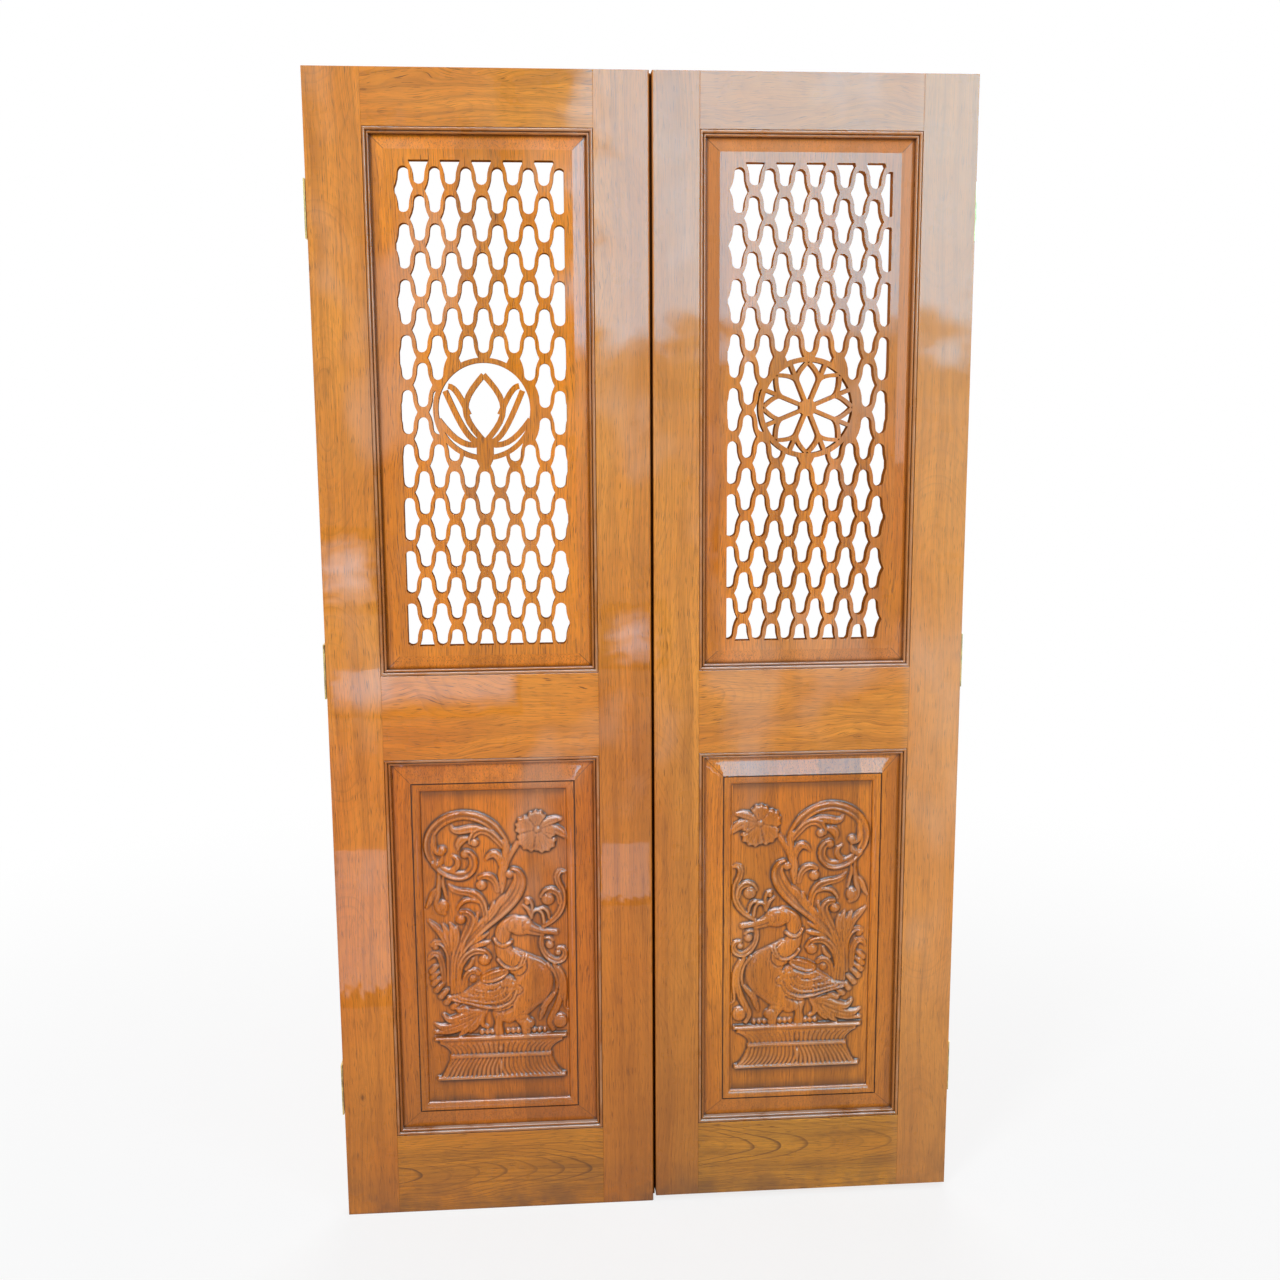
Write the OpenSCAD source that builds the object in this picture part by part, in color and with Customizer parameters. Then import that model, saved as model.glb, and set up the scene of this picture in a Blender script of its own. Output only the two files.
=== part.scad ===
// Carved teak double door: two stile-and-rail leaves, each with a pierced lattice panel above,
// a carved bird panel below, planted beads, and three brass butt hinges on the outer edge.
// Millimetres. X to the right, Z up, the carved face looks towards -Y.

/* [Leaves] */
// height of the left leaf
leaf_height = 2100; // [2040:5:2180]
// thickness of stiles and rails
leaf_thickness = 35; // [32:0.5:42]
// clear width between the two stiles of a leaf
opening_width = 394; // [384:1:420]
// width of the outer stiles, which carry the hinges
hinge_stile = 97; // [85:1:120]
// width of the left leaf's inner stile
left_meeting_stile = 97; // [85:1:120]
// width of the right leaf's inner stile
right_meeting_stile = 83; // [75:1:120]
// gap between the two leaves when shut
meeting_gap = 5; // [4:0.5:8]
// clearance left between the lip behind the gap and the right leaf
lip_clearance = 1; // [0.8:0.1:2]
// thickness of that lip, flush with the left leaf's back
lip_thickness = 10; // [8:0.5:14]
// how much the right leaf is cut shorter at its foot
right_foot_trim = 10; // [0:1:25]
// flat taken off the long edges at the meeting line
eased_edge = 2; // [0.5:0.25:3]

/* [Rails] */
// height of the bottom rail
bottom_rail = 158; // [140:1:175]
// height of the lower panel opening
lower_opening = 738; // [715:1:770]
// height of the middle rail
lock_rail = 156; // [130:1:180]
// height of the top rail
top_rail = 96; // [80:1:120]

/* [Joinery] */
// depth of the panel grooves
groove_depth = 10; // [7:0.5:14]
// width of the panel grooves
groove_width = 10; // [8:0.5:12]
// depth of the mortises in the stiles
mortise_depth = 60; // [45:1:65]
// thickness of the tenons
tenon_thickness = 12; // [10:0.5:14]
// set-back of the tenons from the rail edges
tenon_shoulder = 18; // [14:1:24]
// play of a tenon in its mortise
tenon_play = 0.2; // [0.1:0.05:0.5]
// play of a panel in its groove
panel_play = 0.3; // [0.1:0.05:0.6]

/* [Beads] */
// width of the planted bead round each panel
bead_width = 11; // [9:0.5:14]
// radius of the bead's outer round
bead_round = 3; // [2:0.25:3.5]
// radius of the bead's inner round
bead_inner_round = 2.2; // [1.5:0.1:2.5]
// play between a bead and the panel behind it
bead_play = 0.1; // [0.05:0.05:0.3]

/* [Lattice panel] */
// width of the sloped border of the lattice panel
jali_bevel = 25; // [18:1:30]
// set-back of the lattice panel's flat from the leaf face
jali_setback = 6; // [4:0.5:8]
// set-back of both panels' backs from the leaf back
panel_back_setback = 8; // [5:0.5:10]
// plain border beside the pierced window
window_margin = 15; // [12:0.5:24]
// plain border above and below the pierced window
window_end_margin = 17.5; // [12:0.5:30]
// sideways pitch of the lattice openings
lattice_pitch = 53.7; // [50:0.1:60]
// height from one lattice row to the next
lattice_row = 47.3; // [44:0.1:52]
// height of one lattice opening
hole_height = 77; // [74:0.5:80]
// width of one lattice opening at its side points
hole_width = 34.5; // [31:0.5:38]
// radius of the rounded ends of an opening
hole_round = 9.5; // [9:0.25:10.5]
// level of a row of crossings below the panel's middle
lattice_shift = 5.6; // [0:0.1:20]
// sideways drift of the left lattice over the window's height, as the pattern leans
left_drift = 9; // [0:0.5:22]
// sideways drift of the right lattice over the window's height
right_drift = 17.5; // [0:0.5:22]

/* [Medallions] */
// outer radius of the ring in the lattice
ring_radius = 90; // [86:0.5:96]
// width of the ring
ring_width = 9; // [8:0.5:12]
// width of the bars inside the ring
bar_width = 10; // [8:0.5:12]
// radius of the disc in the middle of the right medallion
hub_radius = 15; // [12:0.5:20]

/* [Carved panel] */
// width of the sloped border of the carved panel
carved_bevel = 35; // [26:1:38]
// set-back of the carved panel's highest border from the leaf face
carved_setback = 3; // [2:0.5:5]
// width of the rounded frame that falls to the field
field_frame = 17; // [14:1:20]
// depth of the field below the border
field_depth = 9; // [7:0.5:10]
// width of the sunk line between the slope and the rounded frame
sunk_line_width = 2.5; // [1.5:0.5:4]
// depth of the sunk line
sunk_line_depth = 3; // [1.5:0.5:4]
// height of the highest carving above the field
relief = 9; // [7:0.25:9]

/* [Hinges] */
// length of a hinge
hinge_length = 100; // [90:1:120]
// width of a hinge flap in the leaf's edge
flap_width = 22; // [20:0.5:25]
// thickness of a hinge flap
flap_thickness = 3; // [2.5:0.25:3.5]
// gap between the leaf's edge and the jamb
hinge_gap = 3; // [2.5:0.25:4]
// radius of the hinge barrel
barrel_radius = 5; // [4.5:0.25:6]
// radius of the hinge pin
pin_radius = 3; // [2.5:0.25:3.25]
// running clearance round the pin
pin_clearance = 0.05; // [0.02:0.01:0.08]
// clearance between the barrel and the leaf's back
barrel_clearance = 0.5; // [0.3:0.1:1]
// clearance between neighbouring knuckles
knuckle_clearance = 0.25; // [0.1:0.05:0.4]
// height of the lowest hinge's middle above the foot
hinge_from_foot = 250; // [200:5:320]
// distance of the highest hinge's middle from the head
hinge_from_head = 230; // [180:5:300]
// spacing of the screw holes across a flap
screw_across = 10; // [8:0.5:11]
// spacing of the screw holes along a flap
screw_along = 70; // [60:1:76]
// diameter of the screw shank
screw_shank = 3.8; // [3:0.1:4.5]
// diameter of the screw head
screw_head = 7.2; // [6.6:0.1:7.6]
// diameter of the screw holes in the jamb flaps
jamb_hole = 4.6; // [4.5:0.1:4.8]
// length of the hinge screws
screw_length = 25; // [18:1:32]
// clearance round a screw
screw_clearance = 0.1; // [0.05:0.05:0.2]

/* [Hidden] */
$fn = 48;
eps = 0.01;
left_width = hinge_stile + opening_width + left_meeting_stile;
right_width = hinge_stile + opening_width + right_meeting_stile;
total_width = left_width + meeting_gap + right_width;
total_depth = leaf_thickness + barrel_clearance + 2 * barrel_radius;
front_y = -total_depth / 2;
lower_bottom = bottom_rail;
lower_top = bottom_rail + lower_opening;
upper_bottom = lower_top + lock_rail;
upper_top = leaf_height - top_rail;
upper_opening = upper_top - upper_bottom;
mid_y = leaf_thickness / 2;
tongue_front = mid_y - groove_width / 2 + panel_play / 2;
tongue_back = mid_y + groove_width / 2 - panel_play / 2;
panel_back = leaf_thickness - panel_back_setback;
tongue = groove_depth - panel_play;
field_y = carved_setback + field_depth;
window_width = opening_width - 2 * (bead_width + jali_bevel + window_margin);
window_height = upper_opening - 2 * (bead_width + jali_bevel + window_end_margin);
field_half_width = opening_width / 2 - bead_width - carved_bevel;
field_half_height = lower_opening / 2 - bead_width - carved_bevel;
knuckle = hinge_length / 5;
// half-width, half-height and relief that the carving's points are drawn for
drawn = [151, 9, 323];
pin_x = -hinge_gap / 2;
pin_y = leaf_thickness + barrel_clearance + barrel_radius;
wood = [0.76, 0.48, 0.22];
wood_dark = [0.62, 0.36, 0.16];
brass = [0.80, 0.64, 0.30];

SIDES = ["left", "right"];
EDGES = ["top", "bottom", "hinge_side", "meeting_side"];
LEVELS = ["top", "middle", "bottom"];

function meeting(s) = s == 0 ? left_meeting_stile : right_meeting_stile;
function foot(s) = s == 0 ? 0 : right_foot_trim;
function hinge_z(l) = l == 0 ? leaf_height - hinge_from_head
    : l == 2 ? hinge_from_foot : (leaf_height - hinge_from_head + hinge_from_foot) / 2;

// A leaf is drawn from its hinge edge at x = 0 with its face at y = 0, and the right one is mirrored.
module place(s) {
    if (s == 0) translate([-total_width / 2, front_y, 0]) children();
    else translate([total_width / 2, front_y, 0]) mirror([1, 0, 0]) children();
}

// Flat shape in the leaf's plane, from depth y0 to depth y1.
module plate(y0, y1) {
    translate([0, y1, 0]) rotate([90, 0, 0]) linear_extrude(height = y1 - y0) children();
}

module box(x0, x1, y0, y1, z0, z1) {
    translate([x0, y0, z0]) cube([x1 - x0, y1 - y0, z1 - z0]);
}

// Profile drawn in x and depth, run from z0 to z1.
module upright(z0, z1) {
    translate([0, 0, z0]) linear_extrude(height = z1 - z0) children();
}

// Profile drawn in height and depth, run from x0 to x1.
module level(x0, x1) {
    translate([x0, 0, 0]) rotate([90, 0, 90]) linear_extrude(height = x1 - x0) mirror([1, 0])
        rotate([0, 0, 90]) children();
}

function rail_spans() = [[0, bottom_rail], [lower_top, upper_bottom], [upper_top, leaf_height]];
function tenon_z(r, s) = [max(rail_spans()[r][0], r == 0 ? foot(s) : 0) + tenon_shoulder,
    rail_spans()[r][1] - tenon_shoulder];

module mortises(s) {
    for (r = [0:2])
        box(-mortise_depth, eps, mid_y - tenon_thickness / 2, mid_y + tenon_thickness / 2,
            tenon_z(r, s)[0], tenon_z(r, s)[1]);
}

module panel_grooves(x0, x1) {
    box(x0, x1, mid_y - groove_width / 2, mid_y + groove_width / 2, lower_bottom - groove_depth,
        lower_top + groove_depth);
    box(x0, x1, mid_y - groove_width / 2, mid_y + groove_width / 2, upper_bottom - groove_depth,
        upper_top + groove_depth);
}

module hinge_stile(s) {
    color(wood) place(s) difference() {
        box(0, hinge_stile, 0, leaf_thickness, foot(s), leaf_height);
        translate([hinge_stile, 0, 0]) mortises(s);
        panel_grooves(hinge_stile - groove_depth, hinge_stile + eps);
        for (l = [0:2]) translate([0, 0, hinge_z(l)]) {
            box(-eps, flap_thickness, leaf_thickness - flap_width, leaf_thickness + eps,
                -hinge_length / 2, hinge_length / 2);
            screw_places() cylinder(r = screw_shank / 2 + screw_clearance, h = screw_length + 1);
        }
    }
}

// The left one has a lip that stands into the meeting gap behind the face.
module meeting_stile(s) {
    m = meeting(s);
    lip = m + meeting_gap - lip_clearance;
    lip_y = leaf_thickness - lip_thickness;
    back = s == 0 ? [[m, lip_y], [lip, lip_y], [lip, leaf_thickness]]
        : [[m, leaf_thickness - eased_edge], [m - eased_edge, leaf_thickness]];
    color(wood) place(s) translate([hinge_stile + opening_width, 0, 0]) difference() {
        upright(foot(s), leaf_height) polygon(concat([[0, 0], [m - eased_edge, 0], [m, eased_edge]], back,
            [[0, leaf_thickness]]));
        mirror([1, 0, 0]) mortises(s);
        panel_grooves(-eps, groove_depth);
    }
}

module rail(s, r) {
    z0 = max(rail_spans()[r][0], r == 0 ? foot(s) : 0);
    z1 = rail_spans()[r][1];
    t = tenon_thickness / 2 - tenon_play / 2;
    color(wood) place(s) translate([hinge_stile, 0, 0]) difference() {
        union() {
            box(0, opening_width, 0, leaf_thickness, z0, z1);
            box(-mortise_depth + tenon_play, opening_width + mortise_depth - tenon_play, mid_y - t,
                mid_y + t,
                tenon_z(r, s)[0] + tenon_play / 2, tenon_z(r, s)[1] - tenon_play / 2);
        }
        if (r < 2) box(-eps, opening_width + eps, mid_y - groove_width / 2, mid_y + groove_width / 2,
            z1 - groove_depth, z1 + eps);
        if (r > 0) box(-eps, opening_width + eps, mid_y - groove_width / 2, mid_y + groove_width / 2,
            z0 - eps, z0 + groove_depth);
    }
}

// Cross-section of a raised panel of half-size a: tongue, slope of width b, flat at depth f.
module raised_profile(a, b, f) {
    polygon([[-a - tongue, tongue_front], [-a + bead_width, tongue_front], [-a + bead_width + b, f],
        [a - bead_width - b, f], [a - bead_width, tongue_front], [a + tongue, tongue_front],
        [a + tongue, tongue_back], [a - bead_width, tongue_back], [a - bead_width, panel_back],
        [-a + bead_width, panel_back], [-a + bead_width, tongue_back], [-a - tongue, tongue_back]]);
}

// Raised panel centred on the origin of its opening, the same profile both ways with mitred slopes.
module raised_panel(a, c, b, f) {
    intersection() {
        upright(-c - tongue, c + tongue) raised_profile(a, b, f);
        level(-a - tongue, a + tongue) raised_profile(c, b, f);
    }
}

// One lattice opening: rounded ends, and sides that curve out to a point at mid-height.
module lattice_hole() {
    q = hole_height / 2 - hole_round;
    turned = 2 * atan2(hole_width / 2 - hole_round, q);
    side = q / sin(turned);
    p = concat(
        [for (k = [3:-1:1]) let (g = turned * k / 3) [hole_round + side * (1 - cos(g)), q - side * sin(g)]],
        [for (k = [0:4]) [hole_round * cos(22.5 * k), q + hole_round * sin(22.5 * k)]]);
    n = len(p) - 1;
    polygon(concat(p, [for (k = [n - 1:-1:0]) [-p[k][0], p[k][1]]], [for (k = [1:n]) -p[k]],
        [for (k = [n - 1:-1:1]) [p[k][0], -p[k][1]]]));
}

// Openings in staggered rows, cut off at the window and the ring. Those that would leave only a
// splinter are left out, but for the one on the left of the ring.
module lattice_holes(lean, left_column) {
    rows = ceil(window_height / lattice_row / 2);
    columns = ceil(window_width / lattice_pitch / 2);
    q = hole_height / 2 - hole_round;
    difference() {
        intersection() {
            square([window_width, window_height], center = true);
            rotate([0, 0, lean]) for (j = [-rows:rows]) for (i = [-columns:columns]) {
                x = (i + (j % 2 == 0 ? 0.5 : 0)) * lattice_pitch;
                z = j * lattice_row - lattice_shift;
                clear = norm([x, abs(z) + q]) > ring_radius + ring_width / 2;
                if (abs(x) < window_width / 2 && abs(z) < (window_height + hole_height - hole_round) / 2
                    && (clear || (j == 0 && i == left_column)))
                    translate([x, z]) lattice_hole();
            }
        }
        circle(r = ring_radius);
    }
}

// Band of one width along a run of points, square-ended.
function turn(p, i) = let (a = p[max(i - 1, 0)], b = p[min(i + 1, len(p) - 1)], d = b - a)
    [-d[1], d[0]] / norm(d);
module band(p, w) {
    polygon(concat([for (i = [0:len(p) - 1]) p[i] + turn(p, i) * w / 2],
        [for (i = [len(p) - 1:-1:0]) p[i] - turn(p, i) * w / 2]));
}

// Lotus seen from the side: petals of three heights that rise from the foot of the ring.
module lotus_bars() {
    inner = ring_radius - ring_width;
    for (m = [0, 1]) mirror([m, 0]) {
        band([for (k = [0:10]) let (t = k / 10) inner * [0.41 * sin(180 * t), -0.72 + 1.46 * t]],
            bar_width);
        band([for (k = [0:10]) let (t = k / 10)
            inner * [0.1 + 0.74 * t - 0.05 * sin(180 * t), -0.72 + 1.12 * t - 0.31 * sin(180 * t)]],
                bar_width);
        band([for (k = [0:8]) let (t = k / 8) inner * [0.34 + 0.43 * t, -0.12 + 0.62 * sin(90 * t)]],
            bar_width);
        band([for (k = [0:8]) let (t = k / 8) inner * [t, -0.72 - 0.12 * sin(180 * t) + 0.5 * t * t]],
            bar_width);
    }
    translate([0, -inner + bar_width * 0.4]) square([3 * bar_width, inner * 0.6], center = true);
}

// Eight petals round a disc, parted by spokes that fork at the ring.
module rosette_bars() {
    inner = ring_radius - ring_width;
    circle(r = hub_radius);
    for (k = [0:7]) rotate([0, 0, 45 * k + 22.5]) {
        band([[0, 0], [inner + ring_width / 4, 0]], bar_width * 0.7);
        for (m = [0, 1]) mirror([0, m])
            band([for (i = [0:6]) let (t = i / 6) inner * [0.62 + 0.3 * t, 0.36 * t * t]], bar_width * 0.7);
    }
}

module medallion_holes(s) {
    difference() {
        circle(r = ring_radius - ring_width);
        if (s == 0) lotus_bars();
        else rosette_bars();
    }
}

module jali_panel(s) {
    color(wood) place(s)
        translate([hinge_stile + opening_width / 2, 0, (upper_bottom + upper_top) / 2]) difference() {
            raised_panel(opening_width / 2, upper_opening / 2, jali_bevel, jali_setback);
            plate(0, leaf_thickness) union() {
                lattice_holes(atan((s == 0 ? -left_drift : right_drift) / window_height), s == 0 ? -2 : 1);
                medallion_holes(s);
            }
        }
}

// Cross-section of the sunk field of half-size a: a quarter-round frame that falls inward.
module field_profile(a) {
    n = 4;
    polygon(concat(
        [for (k = [0:n]) let (g = 90 * k / n)
            [-a + field_frame * sin(g), carved_setback + field_depth * (1 - cos(g))]],
        [for (k = [n:-1:0]) let (g = 90 * k / n)
            [a - field_frame * sin(g), carved_setback + field_depth * (1 - cos(g))]],
        [[a, carved_setback - 1], [-a, carved_setback - 1]]));
}

// Sweep of a carved stroke. Each point is [across, up, half-width, height]; kind 0 is a rounded cord,
// 1 a leaf with a crest, 2 and 3 a scroll with its rim on the left or right of its run.
CUTS = [[[-1, -0.5, 0.5, 1], [-0.2, 0.92, 0.92, -0.2]],
    [[-1, 0, 1], [-0.2, 1, -0.2]],
    [[-1, -0.9, 0.1, 0.65, 1], [-0.2, 0.5, 0.5, 1, -0.2]],
    [[-1, -0.65, -0.1, 0.9, 1], [-0.2, 1, 0.5, 0.5, -0.2]]];
function curve(p, i, t) = let (a = p[max(i - 1, 0)], b = p[i], c = p[i + 1], d = p[min(i + 2, len(p) - 1)])
    0.5 * (2 * b + (c - a) * t + (2 * a - 5 * b + 4 * c - d) * t * t + (3 * b - a - 3 * c + d) * t * t * t);
function smooth(p, n) = concat([for (i = [0:len(p) - 2]) for (k = [0:n - 1]) curve(p, i, k / n)],
    [p[len(p) - 1]]);
module stroke(kind, points, n = 1) {
    p = smooth(points, n);
    c = CUTS[kind];
    m = len(c[0]);
    flat = [for (q = p) [q[0], q[1]]];
    pts = [for (i = [0:len(p) - 1]) let (v = turn(flat, i) * p[i][2]) for (j = [0:m - 1])
        [flat[i][0] + v[0] * c[0][j], -c[1][j] * p[i][3], flat[i][1] + v[1] * c[0][j]]];
    faces = concat(
        [for (i = [0:len(p) - 2]) for (j = [0:m - 1]) [i * m + j, i * m + (j + 1) % m, (i + 1) * m + j]],
        [for (i = [0:len(p) - 2]) for (j = [0:m - 1])
            [i * m + (j + 1) % m, (i + 1) * m + (j + 1) % m, (i + 1) * m + j]],
        [for (j = [1:m - 2]) [0, j + 1, j]],
        [for (j = [1:m - 2]) let (b = (len(p) - 1) * m) [b, b + j, b + j + 1]]);
    polyhedron(pts, faces);
}

// Rounded boss of half-widths a and b and height h.
module boss(u, v, a, b, h, n = 8) {
    translate([u, 0, v]) scale([a, h, b]) sphere(r = 1, $fn = n);
}

// Lobe of the twisted tail edge, from one end to the other.
module lobe(u0, v0, u1, v1, r) {
    hull() {
        boss(u0, v0, r, r, 6, 6);
        boss(u1, v1, r * 0.7, r * 0.7, 4, 6);
    }
}

module scrolls() {
    stroke(3, [[20, 205, 6, 5], [12, 218, 7, 6], [0, 234, 8, 7], [-16, 247, 8, 8], [-36, 256, 8, 8],
        [-60, 259, 8, 8],
        [-85, 253, 8, 8], [-105, 240, 8, 8], [-118, 222, 8, 8], [-122, 202, 8, 8], [-119, 183, 7, 7],
            [-111, 168, 6, 6]]);
    stroke(3, [[-112, 168, 6, 6], [-102, 157, 7, 7], [-90, 149, 8, 8], [-75, 143, 8, 8], [-61, 142, 8, 8],
        [-49, 147, 7, 8], [-41, 158, 7, 8], [-40, 172, 7, 8], [-45, 183, 6, 8], [-54, 188, 5, 8]]);
    stroke(3, [[22, 190, 5, 5], [14, 200, 5, 6], [3, 214, 6, 7], [-10, 225, 6, 7], [-25, 229, 6, 7],
        [-36, 224, 6, 7],
        [-42, 215, 5, 7], [-44, 206, 4, 6]]);
    stroke(1, [[-16, 232, 3, 4], [-35, 233, 6, 6], [-52, 231, 7, 6], [-66, 229, 6, 6], [-76, 232, 4, 5],
        [-79, 238, 2, 4]]);
    stroke(1, [[-50, 214, 4, 4], [-60, 211, 7, 5], [-66, 203, 6, 5], [-67, 193, 2, 3]]);
    stroke(0, [[-110, 234, 2, 3], [-112, 216, 4, 5], [-112, 201, 5, 6], [-107, 190, 5, 7],
        [-98, 187, 5, 7]]);
    stroke(1, [[-108, 166, 4, 5], [-100, 170, 5, 5], [-96, 180, 2, 3]]);
    stroke(1, [[-88, 152, 3, 4], [-76, 155, 5, 5], [-69, 164, 5, 5], [-70, 174, 4, 5], [-78, 181, 2, 4]]);
    stroke(0, [[12, 108, 2, 3], [13, 124, 6, 5], [14, 142, 8, 6], [17, 160, 8, 6], [21, 178, 8, 6],
        [22, 195, 7, 6],
        [17, 208, 5, 5]]);
    stroke(1, [[12, 158, 4, 4], [9, 174, 7, 6], [0, 183, 7, 7], [-10, 180, 5, 6], [-17, 172, 2, 4]]);
    stroke(3, [[4, 112, 4, 4], [0, 128, 5, 6], [-9, 138, 6, 7], [-20, 140, 5, 7], [-29, 136, 4, 6]]);
    boss(-55, 184, 8, 8, 9);
    boss(-37, 206, 8, 8, 9);
    boss(-97, 193, 8, 8, 9);
    boss(-110, 165, 8, 7, 8);
    boss(-26, 123, 10, 10, 9);
}

module flower() {
    stroke(0, [[22, 166, 5, 5], [30, 182, 5, 6], [40, 198, 5, 6], [50, 211, 4, 5]]);
    for (f = [[[81, 228, 7, 5], [79, 240, 16, 7], [78, 251, 19, 7], [78, 261, 12, 4]],
        [[72, 223, 6, 5], [60, 226, 15, 7], [50, 228, 19, 7], [41, 228, 12, 4]],
        [[76, 216, 7, 5], [70, 206, 14, 7], [66, 195, 19, 7], [63, 184, 12, 4]],
        [[86, 216, 7, 5], [94, 207, 15, 7], [102, 197, 19, 7], [108, 187, 12, 4]],
        [[88, 226, 4, 5], [100, 233, 8, 7], [112, 241, 7, 6], [124, 245, 3, 4]],
        [[90, 222, 4, 5], [106, 224, 9, 7], [122, 220, 9, 6], [134, 213, 5, 5],
            [141, 208, 2, 3]]]) stroke(1, f);
    boss(81, 222, 10, 10, 9);
}

module plumes() {
    stroke(3, [[-80, -30, 4, 4], [-66, -4, 6, 6], [-46, 20, 8, 7], [-20, 45, 9, 8], [8, 67, 10, 9],
        [30, 90, 10, 9],
        [43, 112, 10, 9], [48, 131, 9, 9], [43, 145, 7, 9], [34, 150, 6, 8]]);
    stroke(1, [[-26, 44, 3, 4], [-12, 60, 5, 6], [0, 76, 6, 6], [8, 91, 5, 5], [17, 102, 2, 4]]);
    stroke(1, [[-24, 50, 2, 4], [-15, 64, 4, 5], [-8, 76, 4, 5], [-4, 88, 2, 4]]);
    stroke(3, [[-20, 52, 4, 4], [-20, 72, 5, 6], [-25, 90, 6, 7], [-36, 103, 7, 7], [-52, 109, 6, 7],
        [-68, 112, 5, 6],
        [-80, 117, 4, 5], [-86, 124, 2, 4]]);
    stroke(0, [[-30, 90, 3, 4], [-44, 95, 4, 6], [-58, 93, 4, 6], [-68, 84, 3, 5], [-71, 76, 2, 4]]);
    stroke(3, [[-72, -4, 4, 4], [-60, 22, 6, 6], [-50, 42, 7, 7], [-46, 58, 7, 8], [-53, 68, 6, 8],
        [-63, 70, 5, 7]]);
    stroke(1, [[-46, 34, 3, 4], [-38, 52, 4, 5], [-34, 68, 2, 4]]);
    stroke(1, [[-88, -10, 4, 4], [-94, 12, 6, 6], [-104, 32, 6, 6], [-116, 46, 5, 5], [-126, 56, 2, 4]]);
    stroke(1, [[-86, -5, 4, 4], [-88, 18, 6, 6], [-94, 36, 6, 6], [-100, 48, 2, 4]]);
    stroke(1, [[-82, 0, 4, 4], [-80, 22, 7, 6], [-82, 38, 6, 6], [-86, 49, 2, 4]]);
    stroke(1, [[-78, -2, 3, 4], [-74, 18, 5, 6], [-73, 32, 4, 5], [-75, 42, 2, 4]]);
    stroke(2, [[-90, -70, 4, 4], [-89, -20, 5, 6], [-94, 0, 5, 7], [-103, 11, 5, 7], [-114, 13, 4, 6],
        [-121, 8, 3, 5]]);
    stroke(2, [[-100, -64, 4, 4], [-102, -36, 5, 6], [-106, -18, 5, 7], [-114, -9, 5, 7],
        [-123, -13, 4, 6], [-128, -20, 2, 4]]);
    for (k = [0:3]) stroke(0, [[-86 + 6 * k, -88, 3, 5], [-85 + 5 * k, -50, 3, 5], [-82 + 6 * k, -18, 3, 5],
        [-76 + 9 * k, 8 + 3 * k, 2, 4]]);
    stroke(2, [[-72, -70, 4, 4], [-69, -38, 5, 6], [-59, -18, 6, 7], [-46, -8, 6, 8], [-33, -6, 6, 8],
        [-21, -10, 5, 8],
        [-14, -20, 4, 7]]);
    stroke(2, [[-62, -84, 4, 4], [-60, -60, 5, 6], [-53, -49, 5, 7], [-43, -46, 5, 7], [-35, -51, 4, 6]]);
    stroke(1, [[-58, -42, 3, 4], [-50, -34, 4, 5], [-45, -22, 2, 4]]);
    stroke(1, [[-56, 2, 3, 4], [-44, 12, 5, 6], [-30, 20, 5, 6], [-16, 28, 2, 4]]);
    stroke(1, [[-52, -3, 3, 4], [-38, 5, 5, 6], [-25, 8, 5, 6], [-13, 11, 2, 4]]);
    boss(27, 143, 8, 8, 9);
    boss(-66, 57, 10, 9, 9);
    boss(-114, 4, 6, 6, 7);
    boss(-23, -24, 11, 11, 9);
    boss(-46, -61, 7, 8, 6);
    lobe(-122, -44, -112, -34, 6);
    lobe(-121, -56, -110, -46, 6);
    lobe(-119, -68, -107, -58, 6);
    lobe(-114, -81, -102, -69, 6);
    lobe(-106, -94, -94, -82, 6);
    lobe(-96, -106, -84, -96, 6);
    lobe(-84, -116, -72, -107, 6);
    lobe(-72, -124, -58, -117, 6);
}

module hanging_bud() {
    stroke(0, [[-104, 150, 3, 4], [-104, 132, 4, 5], [-106, 112, 5, 6], [-110, 92, 5, 6],
        [-106, 76, 5, 6], [-96, 70, 4, 5]]);
    stroke(0, [[-96, 146, 2, 4], [-97, 128, 3, 5], [-94, 112, 3, 5], [-91, 98, 2, 4]]);
    stroke(1, [[-106, 120, 3, 4], [-116, 108, 5, 5], [-122, 94, 5, 5], [-129, 82, 2, 4]]);
    boss(-98, 84, 11, 13, 9);
}

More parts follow.
